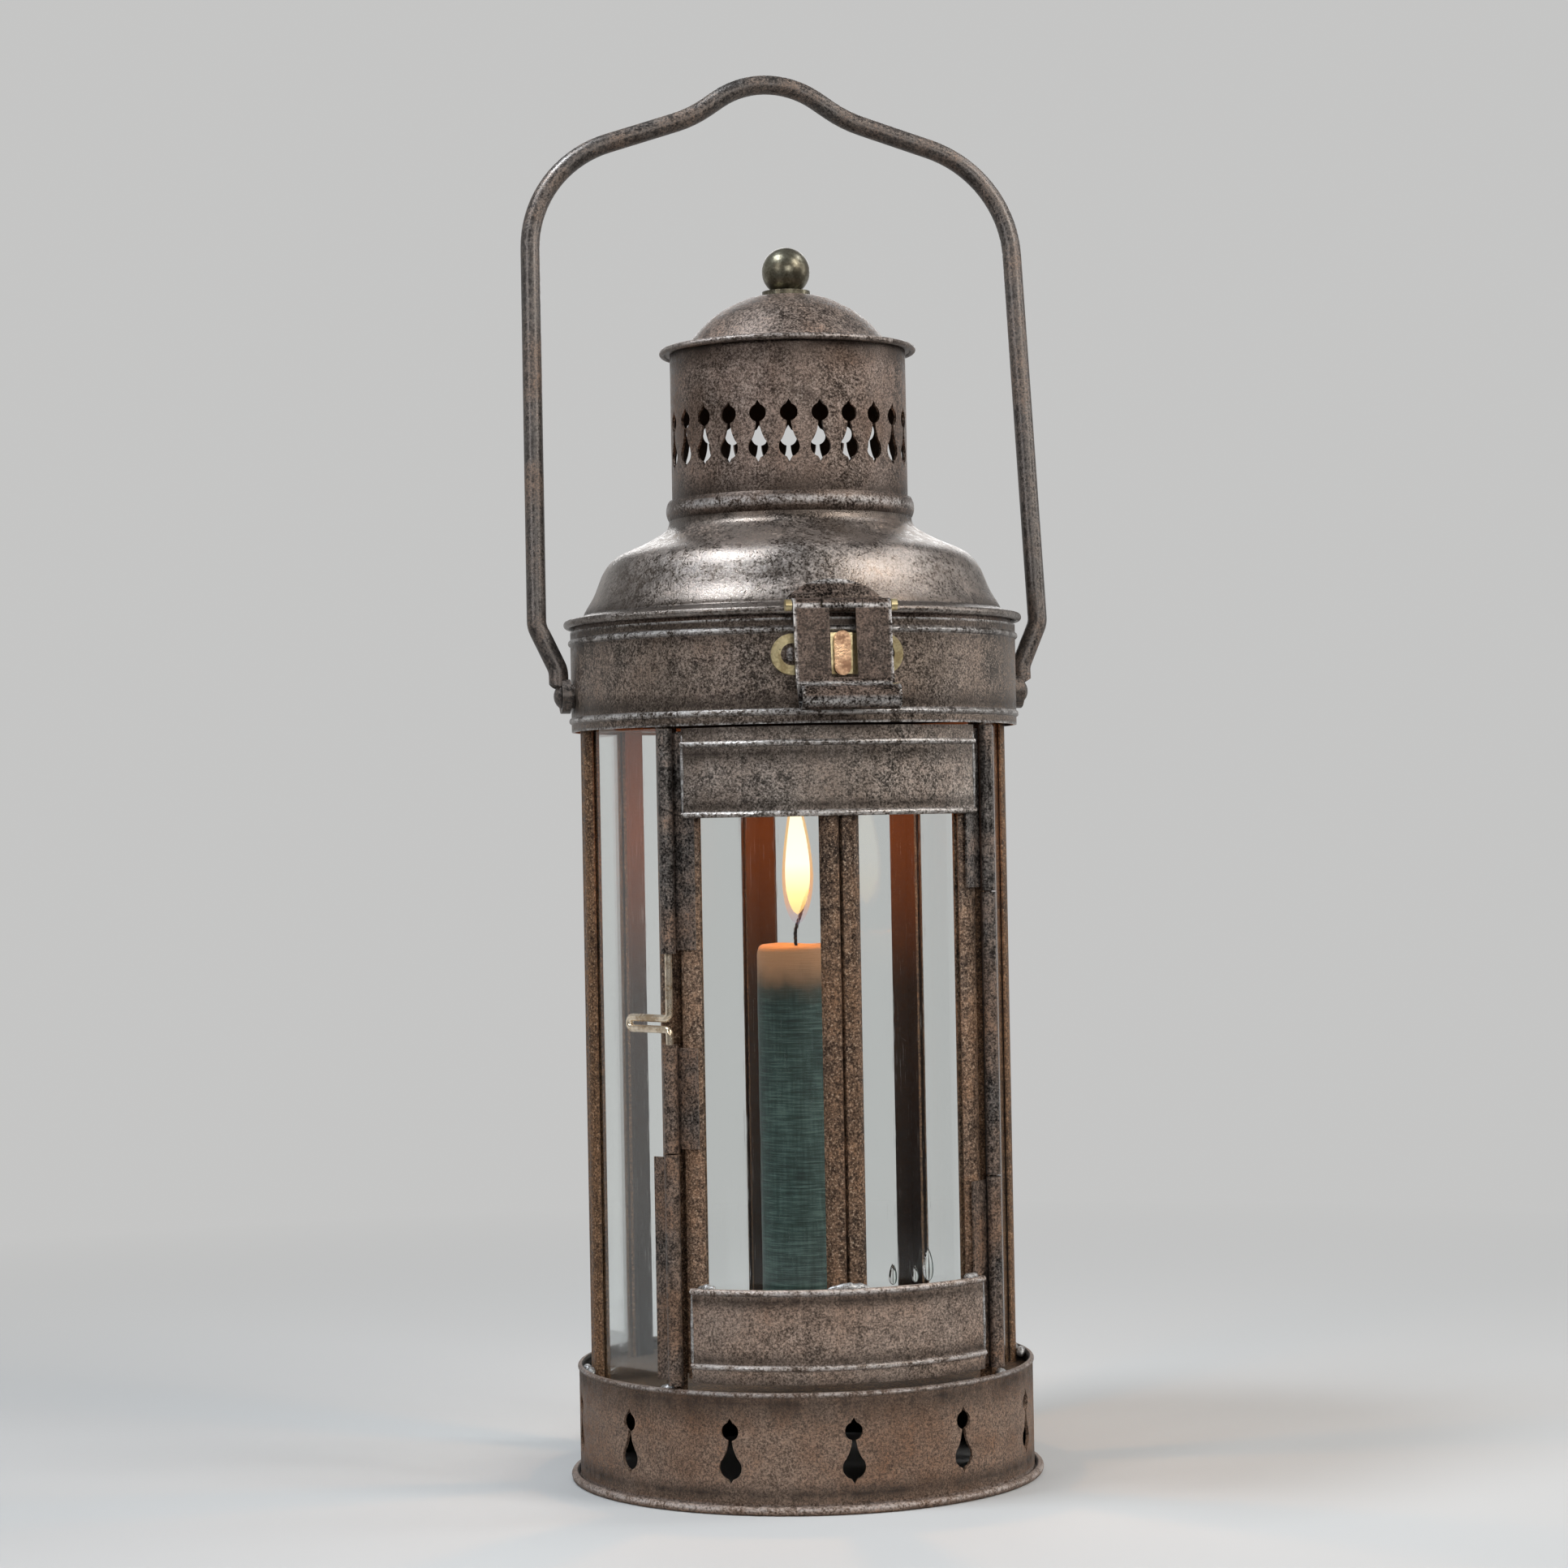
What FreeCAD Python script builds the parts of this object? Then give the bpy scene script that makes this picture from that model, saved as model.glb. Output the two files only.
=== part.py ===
import FreeCAD, Part
import math
import os

# Candle lantern, in millimetres. The origin is the centre of the foot on the table, +Z is up,
# and the door faces -Y. Angles round the lantern count from the door's middle, towards +X.

# Stock and fits
sheet = 1.2              # wall of the base, collar, door leaves and strap
roof_sheet = 1.0         # spun sheet of the roof, chimney and cap
glass = 2.0              # thickness of a pane
solder = 0.3             # gap that solder or putty fills between two fixed pieces
run_gap = 0.08           # radial clearance of a pin, wire or shank in its bore
swing_gap = 0.35         # clearance between pieces that move past each other
overcut = 1.0            # how far a cutter runs past the face it cuts

# Cage and base that the rest is set out from
cage_sides = 8
cage_corner = 80.2       # radius of the corner where two panes' middle planes meet
cage_top = 284.5
base_height = 43.5
outside = 2 * cage_corner    # radius that clears the whole lantern, for cutters

# Base
base_standoff = 6.3      # base's wall outside the cage's corners
base_radius = cage_corner + base_standoff
foot_width = 3.5
foot_radius = base_radius + foot_width
foot_bead = 1.6
lip_bead = 1.1
vent_count = 12
vent_upper_z = 29.3
vent_lower_z = 16.3
vent_upper_radius = 3.3
vent_lower_radius = 4.3
floor_drop = 6.0         # floor plate below the base's lip
floor_height = base_height - floor_drop

# Gourd-shaped piercings
gourd_waist = 1.6        # width of the neck between the two lobes
gourd_hollow = 0.45      # how far the neck's sides curve in
gourd_spike = 1.7        # length of the point at either end
gourd_spike_width = 2.4
gourd_spike_root = 0.9   # where a point leaves its lobe, as a share of the lobe's radius

# Glazed cage
strip_width = 7.2        # one U-shaped strip, measured along its pane
strip_web = 1.6
strip_back = 2.4         # from the pane's middle plane to the strip's inner face
strip_edge = 1.9         # from the middle plane to the edge of the rounded face
strip_crown = 3.1        # from the middle plane to the top of the rounded face
jamb_setback = 0.9       # jamb strip's distance from the corner
stile_setback = 2.6      # door stile's distance from the corner
top_plate_inset = 12.2   # top plate's bore inside the cage's corners
top_plate_bore = cage_corner - top_plate_inset

# Collar
collar_standoff = 4.8    # collar outside the cage's corners
collar_radius = cage_corner + collar_standoff
collar_drop = 1.0        # collar's lower edge below the cage's top
collar_bottom = cage_top - collar_drop
collar_height = 38.0
collar_top = collar_bottom + collar_height
collar_bead = 1.3
collar_bead_inset = 4.2  # bead's distance from the collar's edges
collar_bead_sink = 0.39  # depth of the bead's middle below the collar's face

# Door
sill_gap = 2.3           # between the base's lip and the door
door_bottom = base_height + sill_gap
head_gap = 0.9           # between the door and the collar
door_top = collar_bottom - head_gap
door_standoff = 3.8      # door's panels outside the cage's corners
door_panel_radius = cage_corner + door_standoff
door_panel_sheet = 1.0
door_panel_half_angle = 40.5
door_top_panel_height = 32.6
door_bottom_panel_height = 34.1
door_panel_bead = 1.1
door_bead_inset = 6.0
door_flange_depth = 15.0
hinge_leaf = 0.8
hinge_leaf_angle = 7.0
hinge_leaf_inset = 1.3   # leaf's ends inside its tube's
knuckle_radius = 2.8     # door hinge knuckles and bolt tubes
wire_radius = 1.4        # bolt wire and door hinge pin
knuckle_gap = 0.6        # between the ends of neighbouring knuckles
knuckle_lift = 0.16      # from a leaf's inner face to its tube's back
hinge_lower_end = 116.0
hinge_middle_end = 220.8
keeper_lift = 1.1        # keeper above the base's lip
keeper_bottom = base_height + keeper_lift
keeper_top = 128.2
bolt_slot_bottom = 168.0
bolt_slot_top = 201.0
bolt_handle_z = 175.4    # middle of the folded handle
bolt_handle_length = 20.0
bolt_fold_radius = 2.0
bolt_handle_flare = 10.0 # degrees that the handle stands off the pane
bolt_top = 232.0

# Roof
brim_overhang = 1.0      # brim outside the collar
brim_radius = collar_radius + brim_overhang
brim_lift = 3.4          # brim above the collar's edge
brim_height = collar_top + brim_lift
brim_bead = 1.5
neck_radius = 46.4
shoulder_rise = 38.6
neck_height = brim_height + shoulder_rise
brim_slope = (0.92, -0.38)
shoulder_bends = [(0.09, 0.86), (0.34, 0.728), (0.556, 0.611),
                  (0.664, 0.459), (0.749, 0.249), (0.836, 0.096)]
spigot_depth = 5.5
spigot_gap = 0.45
chimney_height = 72.0
chimney_overlap = 8.5    # length of chimney inside the shoulder's neck
piercing_count = 24
piercing_upper_rise = 45.0   # lobes' middles above the chimney's foot
piercing_lower_rise = 32.3
piercing_upper_radius = 3.3
piercing_lower_radius = 3.9
chimney_bead_height = 7.5
chimney_bead_width = 2.1
cap_overhang = 1.5       # cap's brim outside the shoulder's neck
cap_radius = neck_radius + cap_overhang
cap_bead = 1.2
cap_rise = 20.7
cap_flat = 9.6
cap_brim_width = 5.0
cap_bends = [(0.31, 0.86), (0.58, 0.6), (0.775, 0.29), (0.875, 0.1)]
knob_flange_radius = 9.25
knob_flange = 2.0
knob_neck_radius = 5.4
knob_radius = 9.2
knob_height = 9.8        # ball's middle above the cap

# Hasp on the roof and hinge behind it
leaf_width = 35.8
leaf_rise = 10.5         # leaf's height above its pin
leaf_shoulder = 3.2      # height of the leaf's straight sides above its pin
roof_knuckle_radius = 2.5
roof_knuckle_split = 14.6
roof_pin_radius = 1.2
roof_pin_head = 2.1
roof_pin_head_length = 2.2
roof_pin_lift = 0.5      # pin's height above the brim's edge
hasp_slot_width = 9.7
hasp_slot_end = 26.5     # measured down from the pin
hasp_crease = 27.4
hasp_curl_drop = 34.6
hasp_curl_reach = 9.3
hasp_curl_radius = 4.65
latch_drop = 13.3        # turn-button below the collar's upper edge
latch_height = collar_top - latch_drop
staple_length = 48.7
staple_height = 14.8
staple_eye_radius = 4.0
staple_boss_width = 8.0
staple_rivet_radius = 2.4
button_length = 16.0
button_width = 6.0
button_thickness = 2.0
button_shank_radius = 2.0
button_tail_radius = 3.4
collar_leaf_drop = 20.0
plate_sector = 30.0      # half the angle that holds the plates on the collar

# Bail
bail_pivot_rise = 13.5   # rivets above the collar's lower edge
bail_pivot_height = collar_bottom + bail_pivot_rise
bail_rod = 7.4
bail_eye_radius = 6.6
bail_eye = 3.4
bail_standoff = 0.4      # eye's clearance from the collar's beads
bail_eye_step = 0.3      # from the eye's inner face out to the rod's
bail_leg_standoff = 13.0 # legs outside the collar, above the joggle
bail_leg_reach = collar_radius + bail_leg_standoff
bail_leg_draft = 3.0     # how far the legs draw in towards the shoulder
bail_shoulder_reach = bail_leg_reach - bail_leg_draft
bail_rod_start = 3.0     # rod's lower end above the pivot
bail_joggle_start = 10.0
bail_joggle_end = 27.0
bail_joggle_bend = 9.0
bail_shoulder_height = 207.0
bail_shoulder_bend = 46.0
bail_waist_reach = 30.5
bail_waist_height = 228.3
bail_waist_bend = 48.0
bail_peak_height = 249.6 # where the two slopes of the hump would meet
bail_peak_bend = 34.0
bail_lean = 7.5          # degrees that the bail leans back
bail_rivet_radius = 2.4
bail_rivet_head = 4.6
bail_rivet_dome = 2.4

# Candle
dish_radius = 25.0
dish_rim = 4.5
candle_radius = 16.0
candle_top = 202.0
candle_edge = 3.0
candle_pool = 3.0
spike_radius = 2.0
spike_height = 18.0
spike_flange = 4.0
spike_shank = 1.5
spike_tail = 3.0
wick_radius = 0.8
wick_length = 27.0
wick_depth = 6.0

V = FreeCAD.Vector
UP = V(0, 0, 1)
CENTRE = V(0, 0, 0)
side_angle = 360.0 / cage_sides
pieces = {}


# Shape helpers

def around(angle, radius, height=0.0):
    """Point at an angle round the lantern."""
    turn = math.radians(angle)
    return V(radius * math.sin(turn), -radius * math.cos(turn), height)


def turned(shape, angle):
    """Copy of a shape modelled at the front, turned to an angle round the lantern."""
    copy = shape.copy()
    copy.rotate(CENTRE, UP, angle)
    return copy


def pin(radius, start, end):
    """Round bar between two points."""
    return Part.makeCylinder(radius, (end - start).Length, start, end - start)


def spun(edges, sweep=360.0):
    """Solid turned about the lantern's axis from a closed outline in the XZ plane."""
    return Part.Face(Part.Wire(edges)).revolve(CENTRE, UP, sweep)


def line(first, second):
    return Part.LineSegment(first, second).toShape()


def arc(first, middle, last):
    return Part.Arc(first, middle, last).toShape()


def outline(points):
    """Closed run of straight edges through (radius, height) points."""
    corners = [V(r, 0, z) for r, z in points]
    return [line(a, b) for a, b in zip(corners, corners[1:] + corners[:1])]


def band(inner, outer, low, high, first=-180.0, last=180.0):
    """Upright ring, or the stretch of it between two angles."""
    section = outline([(inner, low), (outer, low), (outer, high), (inner, high)])
    ring = spun(section, last - first)
    ring.rotate(CENTRE, UP, first - 90.0)
    return ring


def bead(radius, height, size):
    """Round roll that runs all the way round."""
    return Part.makeTorus(radius, size, V(0, 0, height), UP)


def prism(points, low, high):
    """Plate cut to (x, z) points, between two distances in front of the axis."""
    corners = [V(x, -low, z) for x, z in points]
    edges = [line(a, b) for a, b in zip(corners, corners[1:] + corners[:1])]
    return Part.Face(Part.Wire(edges)).extrude(V(0, low - high, 0))


def slab(points, half_width, start=None):
    """Strip with a section of (reach, height) points, run across the front along X."""
    low = -half_width if start is None else start
    corners = [V(low, -reach, z) for reach, z in points]
    edges = [line(a, b) for a, b in zip(corners, corners[1:] + corners[:1])]
    return Part.Face(Part.Wire(edges)).extrude(V(half_width - low, 0, 0))


def cross_bar(radius, reach, height, start, end):
    """Round bar along X in front of the axis."""
    return pin(radius, V(start, -reach, height), V(end, -reach, height))


def joined(shapes):
    """One clean solid from overlapping shapes."""
    return shapes[0].fuse(shapes[1:]).removeSplitter()


def smooth(points, first=None, last=None):
    """Curve through (radius, height) points, with its end directions."""
    curve = Part.BSplineCurve()
    through = [V(r, 0, z) for r, z in points]
    curve.interpolate(Points=through, InitialTangent=first, FinalTangent=last)
    return curve


def moved_out(curve, points, distance):
    """Points of a curve moved along its outward normal."""
    result = []
    for r, z in points:
        along = curve.tangent(curve.parameter(V(r, 0, z)))[0]
        result.append((r - along.z * distance, z + along.x * distance))
    return result


def gourd(upper_z, lower_z, upper_radius, lower_radius, reach):
    """Cutter for one piercing at the front: two lobes, a tapered neck and a point at each end."""
    depth = V(0, -reach, 0)
    upper = pin(upper_radius, V(0, 0, upper_z), V(0, 0, upper_z) + depth)
    lower = pin(lower_radius, V(0, 0, lower_z), V(0, 0, lower_z) + depth)
    half_waist = gourd_waist / 2
    half_spike = gourd_spike_width / 2
    taper = lower_radius * math.sqrt(0.5)
    neck_top = upper_z - upper_radius
    neck_foot = lower_z + taper
    hollow_x = (taper + half_waist) / 2 - gourd_hollow
    hollow_z = (neck_foot + neck_top) / 2
    right = [V(taper, 0, neck_foot), V(hollow_x, 0, hollow_z), V(half_waist, 0, neck_top),
             V(half_waist, 0, upper_z)]
    left = [V(-p.x, 0, p.z) for p in right]
    neck_edges = [arc(*right[:3]), line(right[2], right[3]), line(right[3], left[3]),
                  line(left[3], left[2]), arc(*left[2::-1]), line(left[0], right[0])]
    neck = Part.Face(Part.Wire(neck_edges)).extrude(depth)
    top_root = upper_z + upper_radius * gourd_spike_root
    top = prism([(-half_spike, upper_z), (half_spike, upper_z), (half_spike, top_root),
                 (0, upper_z + upper_radius + gourd_spike), (-half_spike, top_root)], 0, reach)
    foot_root = lower_z - lower_radius * gourd_spike_root
    foot = prism([(-half_spike, lower_z), (half_spike, lower_z), (half_spike, foot_root),
                  (0, lower_z - lower_radius - gourd_spike), (-half_spike, foot_root)], 0, reach)
    return joined([upper, lower, neck, top, foot])


def pierced(wall, cutter, count):
    """Wall with a cutter repeated round it."""
    return wall.cut([turned(cutter, 360.0 * i / count) for i in range(count)])


# Base ring: pierced wall, rolled lip and rolled out-turned foot that is flat underneath

base_inside = base_radius - sheet
foot_middle = foot_radius - foot_bead
wall = band(base_inside, base_radius, 0, base_height - lip_bead)
foot = band(base_inside, foot_middle, 0, sheet)
roll_seat = band(foot_middle - foot_bead, foot_middle, 0, sheet)
roll = bead(foot_middle, foot_bead, foot_bead).fuse(roll_seat)
lip = bead(base_radius - sheet / 2, base_height - lip_bead, lip_bead)
base = joined([wall, foot, roll, lip])
vent = gourd(vent_upper_z, vent_lower_z, vent_upper_radius, vent_lower_radius, outside)
pieces["base_ring"] = pierced(base, vent, vent_count)

# Floor plate, with the candle dish and spike riveted to it

floor_top = floor_height + sheet
dish_floor = floor_top + sheet
shank_hole = pin(spike_shank + run_gap, CENTRE, V(0, 0, floor_height * 2))
pieces["floor_plate"] = band(0, base_inside - solder, floor_height, floor_top).cut(shank_hole)
dish = joined([band(0, dish_radius, floor_top, dish_floor),
               band(dish_radius - sheet, dish_radius, floor_top, floor_top + dish_rim)])
pieces["candle_dish"] = dish.cut(shank_hole)
rivet_tail = floor_height - sheet
flange_top = dish_floor + sheet
spike_tip = dish_floor + spike_height
spike_outline = outline([(0, rivet_tail), (spike_tail, rivet_tail), (spike_tail, floor_height),
                         (spike_shank, floor_height), (spike_shank, dish_floor),
                         (spike_flange, dish_floor), (spike_flange, flange_top),
                         (spike_radius, flange_top), (wick_radius, spike_tip), (0, spike_tip)])
pieces["candle_spike"] = spun(spike_outline)


# Glazed cage: U-shaped strips at the corners, and flat panes between them

def strip(corner, side, setback, low, high):
    """One strip along the end of the pane on one side (+1 or -1) of a corner."""
    facing = math.radians(corner + side * side_angle / 2)
    normal = V(math.sin(facing), -math.cos(facing), 0)
    along = V(math.cos(facing), math.sin(facing), 0) * side
    origin = around(corner, cage_corner, low)

    def place(s, n):
        return origin + along * s + normal * n

    end = setback + strip_width
    groove = glass / 2 + solder
    web = setback + strip_web
    corners = [place(setback, strip_edge), place(setback, -strip_back), place(end, -strip_back),
               place(end, -groove), place(web, -groove), place(web, groove),
               place(end, groove), place(end, strip_edge)]
    edges = [line(a, b) for a, b in zip(corners, corners[1:])]
    edges.append(arc(corners[-1], place(setback + strip_width / 2, strip_crown), corners[0]))
    return Part.Face(Part.Wire(edges)).extrude(V(0, 0, high - low))


def pane(corner, start_setback, end_setback, low, high):
    """Flat pane from one corner to the next, held in the strips at both ends."""
    facing = corner + side_angle / 2
    inradius = cage_corner * math.cos(math.radians(side_angle / 2))
    half = cage_corner * math.sin(math.radians(side_angle / 2))
    start = -half + start_setback + strip_web + solder
    end = half - end_setback - strip_web - solder
    plate = Part.makeBox(end - start, glass, high - low, V(start, -inradius - glass / 2, low))
    return turned(plate, facing)


post_names = {-135: "post_back_left", -90: "post_left", 90: "post_right",
              135: "post_back_right", 180: "post_back"}
for corner, name in post_names.items():
    pieces[name] = joined([strip(corner, side, 0, floor_top, cage_top) for side in (-1, 1)])

latch_corner = -side_angle
hinge_corner = side_angle
pieces["latch_jamb"] = strip(latch_corner, -1, jamb_setback, floor_top, cage_top)
pieces["hinge_jamb"] = strip(hinge_corner, 1, jamb_setback, floor_top, cage_top)

pane_low = floor_top + solder
pane_high = cage_top - solder
pane_names = {45: "pane_right_front", 90: "pane_right_rear", 135: "pane_back_right",
              180: "pane_back_left", 225: "pane_left_rear", 270: "pane_left_front"}
for corner, name in pane_names.items():
    start = jamb_setback if corner == 45 else 0
    end = jamb_setback if corner == 270 else 0
    pieces[name] = pane(corner, start, end, pane_low, pane_high)

# Top plate on the posts, and the collar round it

collar_inside = collar_radius - sheet
top_plate_high = cage_top + sheet
pieces["top_plate"] = band(top_plate_bore, collar_inside - solder, cage_top, top_plate_high)
bail_hole = cross_bar(bail_rivet_radius + run_gap, 0, bail_pivot_height, -outside, outside)
button_hole = pin(button_shank_radius + run_gap, V(0, 0, latch_height), V(0, -outside, latch_height))
collar_rolls = [bead(collar_radius - collar_bead_sink, height, collar_bead)
                for height in (collar_bottom + collar_bead_inset, collar_top - collar_bead_inset)]
collar = joined([band(collar_inside, collar_radius, collar_bottom, collar_top)] + collar_rolls)
collar = collar.cut(band(0, collar_inside, collar_bottom - sheet, collar_top + sheet))
pieces["collar"] = collar.cut([bail_hole, button_hole])


# Door: two curved panels with inward flanges, stiles and a double mullion that hold two panes

door_panel_inside = door_panel_radius - door_panel_sheet
strip_low = door_bottom + door_panel_sheet
strip_high = door_top - door_panel_sheet


def door_panel(low, high, flange_low, bead_height, roll_height):
    """Curved panel with a swaged bead, a rolled edge beside the glass and a flange behind it."""
    half = door_panel_half_angle
    section = band(door_panel_inside, door_panel_radius, low, high, -half, half)
    flange = band(door_panel_inside - door_flange_depth, door_panel_radius - door_panel_sheet / 2,
                  flange_low, flange_low + door_panel_sheet, -half, half)
    rolls = []
    for height in (bead_height, roll_height):
        circle = Part.makeCircle(door_panel_bead, V(door_panel_radius, 0, height), V(0, 1, 0))
        roll = Part.Face(Part.Wire(circle)).revolve(CENTRE, UP, 2 * half)
        roll.rotate(CENTRE, UP, -half - 90.0)
        rolls.append(roll.cut(band(0, door_panel_inside, low - sheet, high + sheet)))
    return joined([section, flange] + rolls)


top_panel_low = door_top - door_top_panel_height
bottom_panel_high = door_bottom + door_bottom_panel_height
pieces["door_top_panel"] = door_panel(top_panel_low, door_top, strip_high,
                                      door_top - door_bead_inset, top_panel_low + door_panel_bead)
pieces["door_bottom_panel"] = door_panel(door_bottom, bottom_panel_high, door_bottom,
                                         door_bottom + door_bead_inset,
                                         bottom_panel_high - door_panel_bead)
pieces["door_stile_left"] = strip(latch_corner, 1, stile_setback, strip_low, strip_high)
pieces["door_stile_right"] = strip(hinge_corner, -1, stile_setback, strip_low, strip_high)
pieces["door_mullion"] = joined([strip(0, side, 0, strip_low, strip_high) for side in (-1, 1)])
door_pane_low = strip_low + solder
door_pane_high = strip_high - solder
pieces["door_pane_left"] = pane(latch_corner, stile_setback, 0, door_pane_low, door_pane_high)
pieces["door_pane_right"] = pane(0, 0, stile_setback, door_pane_low, door_pane_high)

# Rolled knuckles and bolt tubes: each is a tube with a thin leaf soldered on its strip

leaf_outside = door_panel_inside - solder
leaf_inside = leaf_outside - hinge_leaf
tube_reach = leaf_inside + knuckle_radius + knuckle_lift


def knuckle(corner, side, low, high):
    """Tube at a corner with its leaf towards one side (+1 or -1)."""
    first = min(corner, corner + side * hinge_leaf_angle)
    last = max(corner, corner + side * hinge_leaf_angle)
    leaf = band(leaf_inside, leaf_outside, low + hinge_leaf_inset, high - hinge_leaf_inset, first, last)
    tube = pin(knuckle_radius, around(corner, tube_reach, low), around(corner, tube_reach, high))
    bore = pin(wire_radius + run_gap, around(corner, tube_reach, low - overcut),
               around(corner, tube_reach, high + overcut))
    return joined([tube, leaf]).cut(bore)


pieces["latch_keeper"] = knuckle(latch_corner, -1, keeper_bottom, keeper_top)
pieces["bolt_tube_lower"] = knuckle(latch_corner, 1, keeper_top + knuckle_gap, bolt_slot_bottom)
pieces["bolt_tube_upper"] = knuckle(latch_corner, 1, bolt_slot_top, door_top)
pieces["door_knuckle_lower"] = knuckle(hinge_corner, -1, door_bottom, hinge_lower_end)
pieces["jamb_knuckle"] = knuckle(hinge_corner, 1, hinge_lower_end + knuckle_gap, hinge_middle_end)
pieces["door_knuckle_upper"] = knuckle(hinge_corner, -1, hinge_middle_end + knuckle_gap, door_top)
pieces["door_hinge_pin"] = pin(wire_radius, around(hinge_corner, tube_reach, door_bottom),
                               around(hinge_corner, tube_reach, door_top))


def rounded_path(points, bends):
    """Wire of straight runs with a tangent arc of the given radius at each inner point."""
    edges = []
    start = points[0]
    for before, point, after, radius in zip(points, points[1:], points[2:], bends):
        back = (before - point).normalize()
        ahead = (after - point).normalize()
        half = back.getAngle(ahead) / 2
        reach = radius / math.tan(half)
        middle = point + (back + ahead).normalize() * (radius / math.sin(half) - radius)
        edges.append(line(start, point + back * reach))
        edges.append(arc(point + back * reach, middle, point + ahead * reach))
        start = point + ahead * reach
    edges.append(line(start, points[-1]))
    return Part.Wire(edges)


def wire_along(path, radius):
    """Round wire swept along a path."""
    start = path.Edges[0]
    heading = start.tangentAt(start.FirstParameter)
    circle = Part.Wire(Part.makeCircle(radius, start.valueAt(start.FirstParameter), heading))
    return path.makePipeShell([circle], True, True)


# Bolt: one brass wire, folded sideways into a flat handle between the two tubes

handle_facing = math.radians(latch_corner - side_angle / 2 + bolt_handle_flare)
handle_along = V(-math.cos(handle_facing), -math.sin(handle_facing), 0)
handle_high = bolt_handle_z + bolt_fold_radius
handle_low = bolt_handle_z - bolt_fold_radius
bolt_axis = around(latch_corner, tube_reach)
bolt_tip = keeper_top + knuckle_gap
handle_end = handle_along * bolt_handle_length
fold = handle_along * (bolt_handle_length + bolt_fold_radius)
upper_run = [bolt_axis + V(0, 0, bolt_top), bolt_axis + V(0, 0, handle_high),
             bolt_axis + handle_end + V(0, 0, handle_high)]
lower_run = [bolt_axis + handle_end + V(0, 0, handle_low), bolt_axis + V(0, 0, handle_low),
             bolt_axis + V(0, 0, bolt_tip)]
upper_edges = rounded_path(upper_run, [bolt_fold_radius]).Edges
lower_edges = rounded_path(lower_run, [bolt_fold_radius]).Edges
fold_edge = arc(upper_run[-1], bolt_axis + fold + V(0, 0, bolt_handle_z), lower_run[0])
pieces["bolt_wire"] = wire_along(Part.Wire(upper_edges + [fold_edge] + lower_edges), wire_radius)

# Bail: a bent rod with flattened eyes, on a shouldered rivet at each side of the collar

bead_reach = collar_radius + collar_bead - collar_bead_sink
eye_inside = bead_reach + bail_standoff
eye_outside = eye_inside + bail_eye
rod_reach = eye_inside + bail_eye_step + bail_rod / 2
half_path = [V(rod_reach, 0, bail_rod_start), V(rod_reach, 0, bail_joggle_start),
             V(bail_leg_reach, 0, bail_joggle_end),
             V(bail_shoulder_reach, 0, bail_shoulder_height), V(bail_waist_reach, 0, bail_waist_height)]
peak = V(0, 0, bail_peak_height)
mirrored = [V(-p.x, 0, p.z) for p in reversed(half_path)]
half_bends = [bail_joggle_bend, bail_joggle_bend, bail_shoulder_bend, bail_waist_bend]
bail_bends = half_bends + [bail_peak_bend] + half_bends[::-1]
rod = wire_along(rounded_path(half_path + [peak] + mirrored, bail_bends), bail_rod / 2)
bail_eyes = [cross_bar(bail_eye_radius, 0, 0, side * eye_inside, side * eye_outside) for side in (-1, 1)]
eye_bore = cross_bar(bail_rivet_radius + run_gap, 0, 0, -outside, outside)
head_relief = [cross_bar(bail_rivet_head + swing_gap, 0, 0, side * eye_outside, side * outside)
               for side in (-1, 1)]
bail = joined([rod] + bail_eyes).cut([eye_bore] + head_relief)
bail.rotate(CENTRE, V(1, 0, 0), -bail_lean)
bail.translate(V(0, 0, bail_pivot_height))
pieces["bail_handle"] = bail


def bail_rivet(side):
    """Shouldered rivet: inner head, shoulder that keeps the eye off the collar, and domed head."""
    def at(x):
        return V(side * x, 0, bail_pivot_height)

    shank = pin(bail_rivet_radius, at(collar_inside - sheet), at(eye_outside + solder))
    inner = pin(bail_rivet_head, at(collar_inside - solder - sheet), at(collar_inside - solder))
    shoulder = pin(bail_rivet_head, at(collar_radius), at(eye_inside - swing_gap / 2))
    sphere_radius = (bail_rivet_head ** 2 + bail_rivet_dome ** 2) / (2 * bail_rivet_dome)
    head_face = eye_outside + solder
    ball = Part.makeSphere(sphere_radius, at(head_face + bail_rivet_dome - sphere_radius))
    dome = ball.common(pin(bail_rivet_head + overcut, at(head_face), at(outside)))
    return joined([shank, inner, shoulder, dome])


pieces["bail_rivets"] = Part.makeCompound([bail_rivet(side) for side in (-1, 1)])

# Roof: spun shoulder with a rolled brim, and the spigot that centres it in the collar

reach_span = brim_radius - neck_radius
rise_span = neck_height - brim_height
shoulder_points = [(neck_radius + reach_span * r, brim_height + rise_span * z)
                   for r, z in [(0.0, 1.0)] + shoulder_bends + [(1.0, 0.0)]]
shoulder_start = V(0, 0, -1)
shoulder_end = V(brim_slope[0], 0, brim_slope[1])
shoulder_curve = smooth(shoulder_points, shoulder_start, shoulder_end)


def shoulder_line(distance):
    """Shoulder's outer line, moved outwards by a distance."""
    return smooth(moved_out(shoulder_curve, shoulder_points, distance), shoulder_start, shoulder_end)


def shoulder_wall(inner, outer):
    """Shell between two offsets of the shoulder's outer line."""
    first = shoulder_line(inner).toShape()
    second = shoulder_line(outer).toShape()
    return spun([first, line(first.Vertexes[-1].Point, second.Vertexes[-1].Point), second,
                 line(second.Vertexes[0].Point, first.Vertexes[0].Point)])


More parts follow.
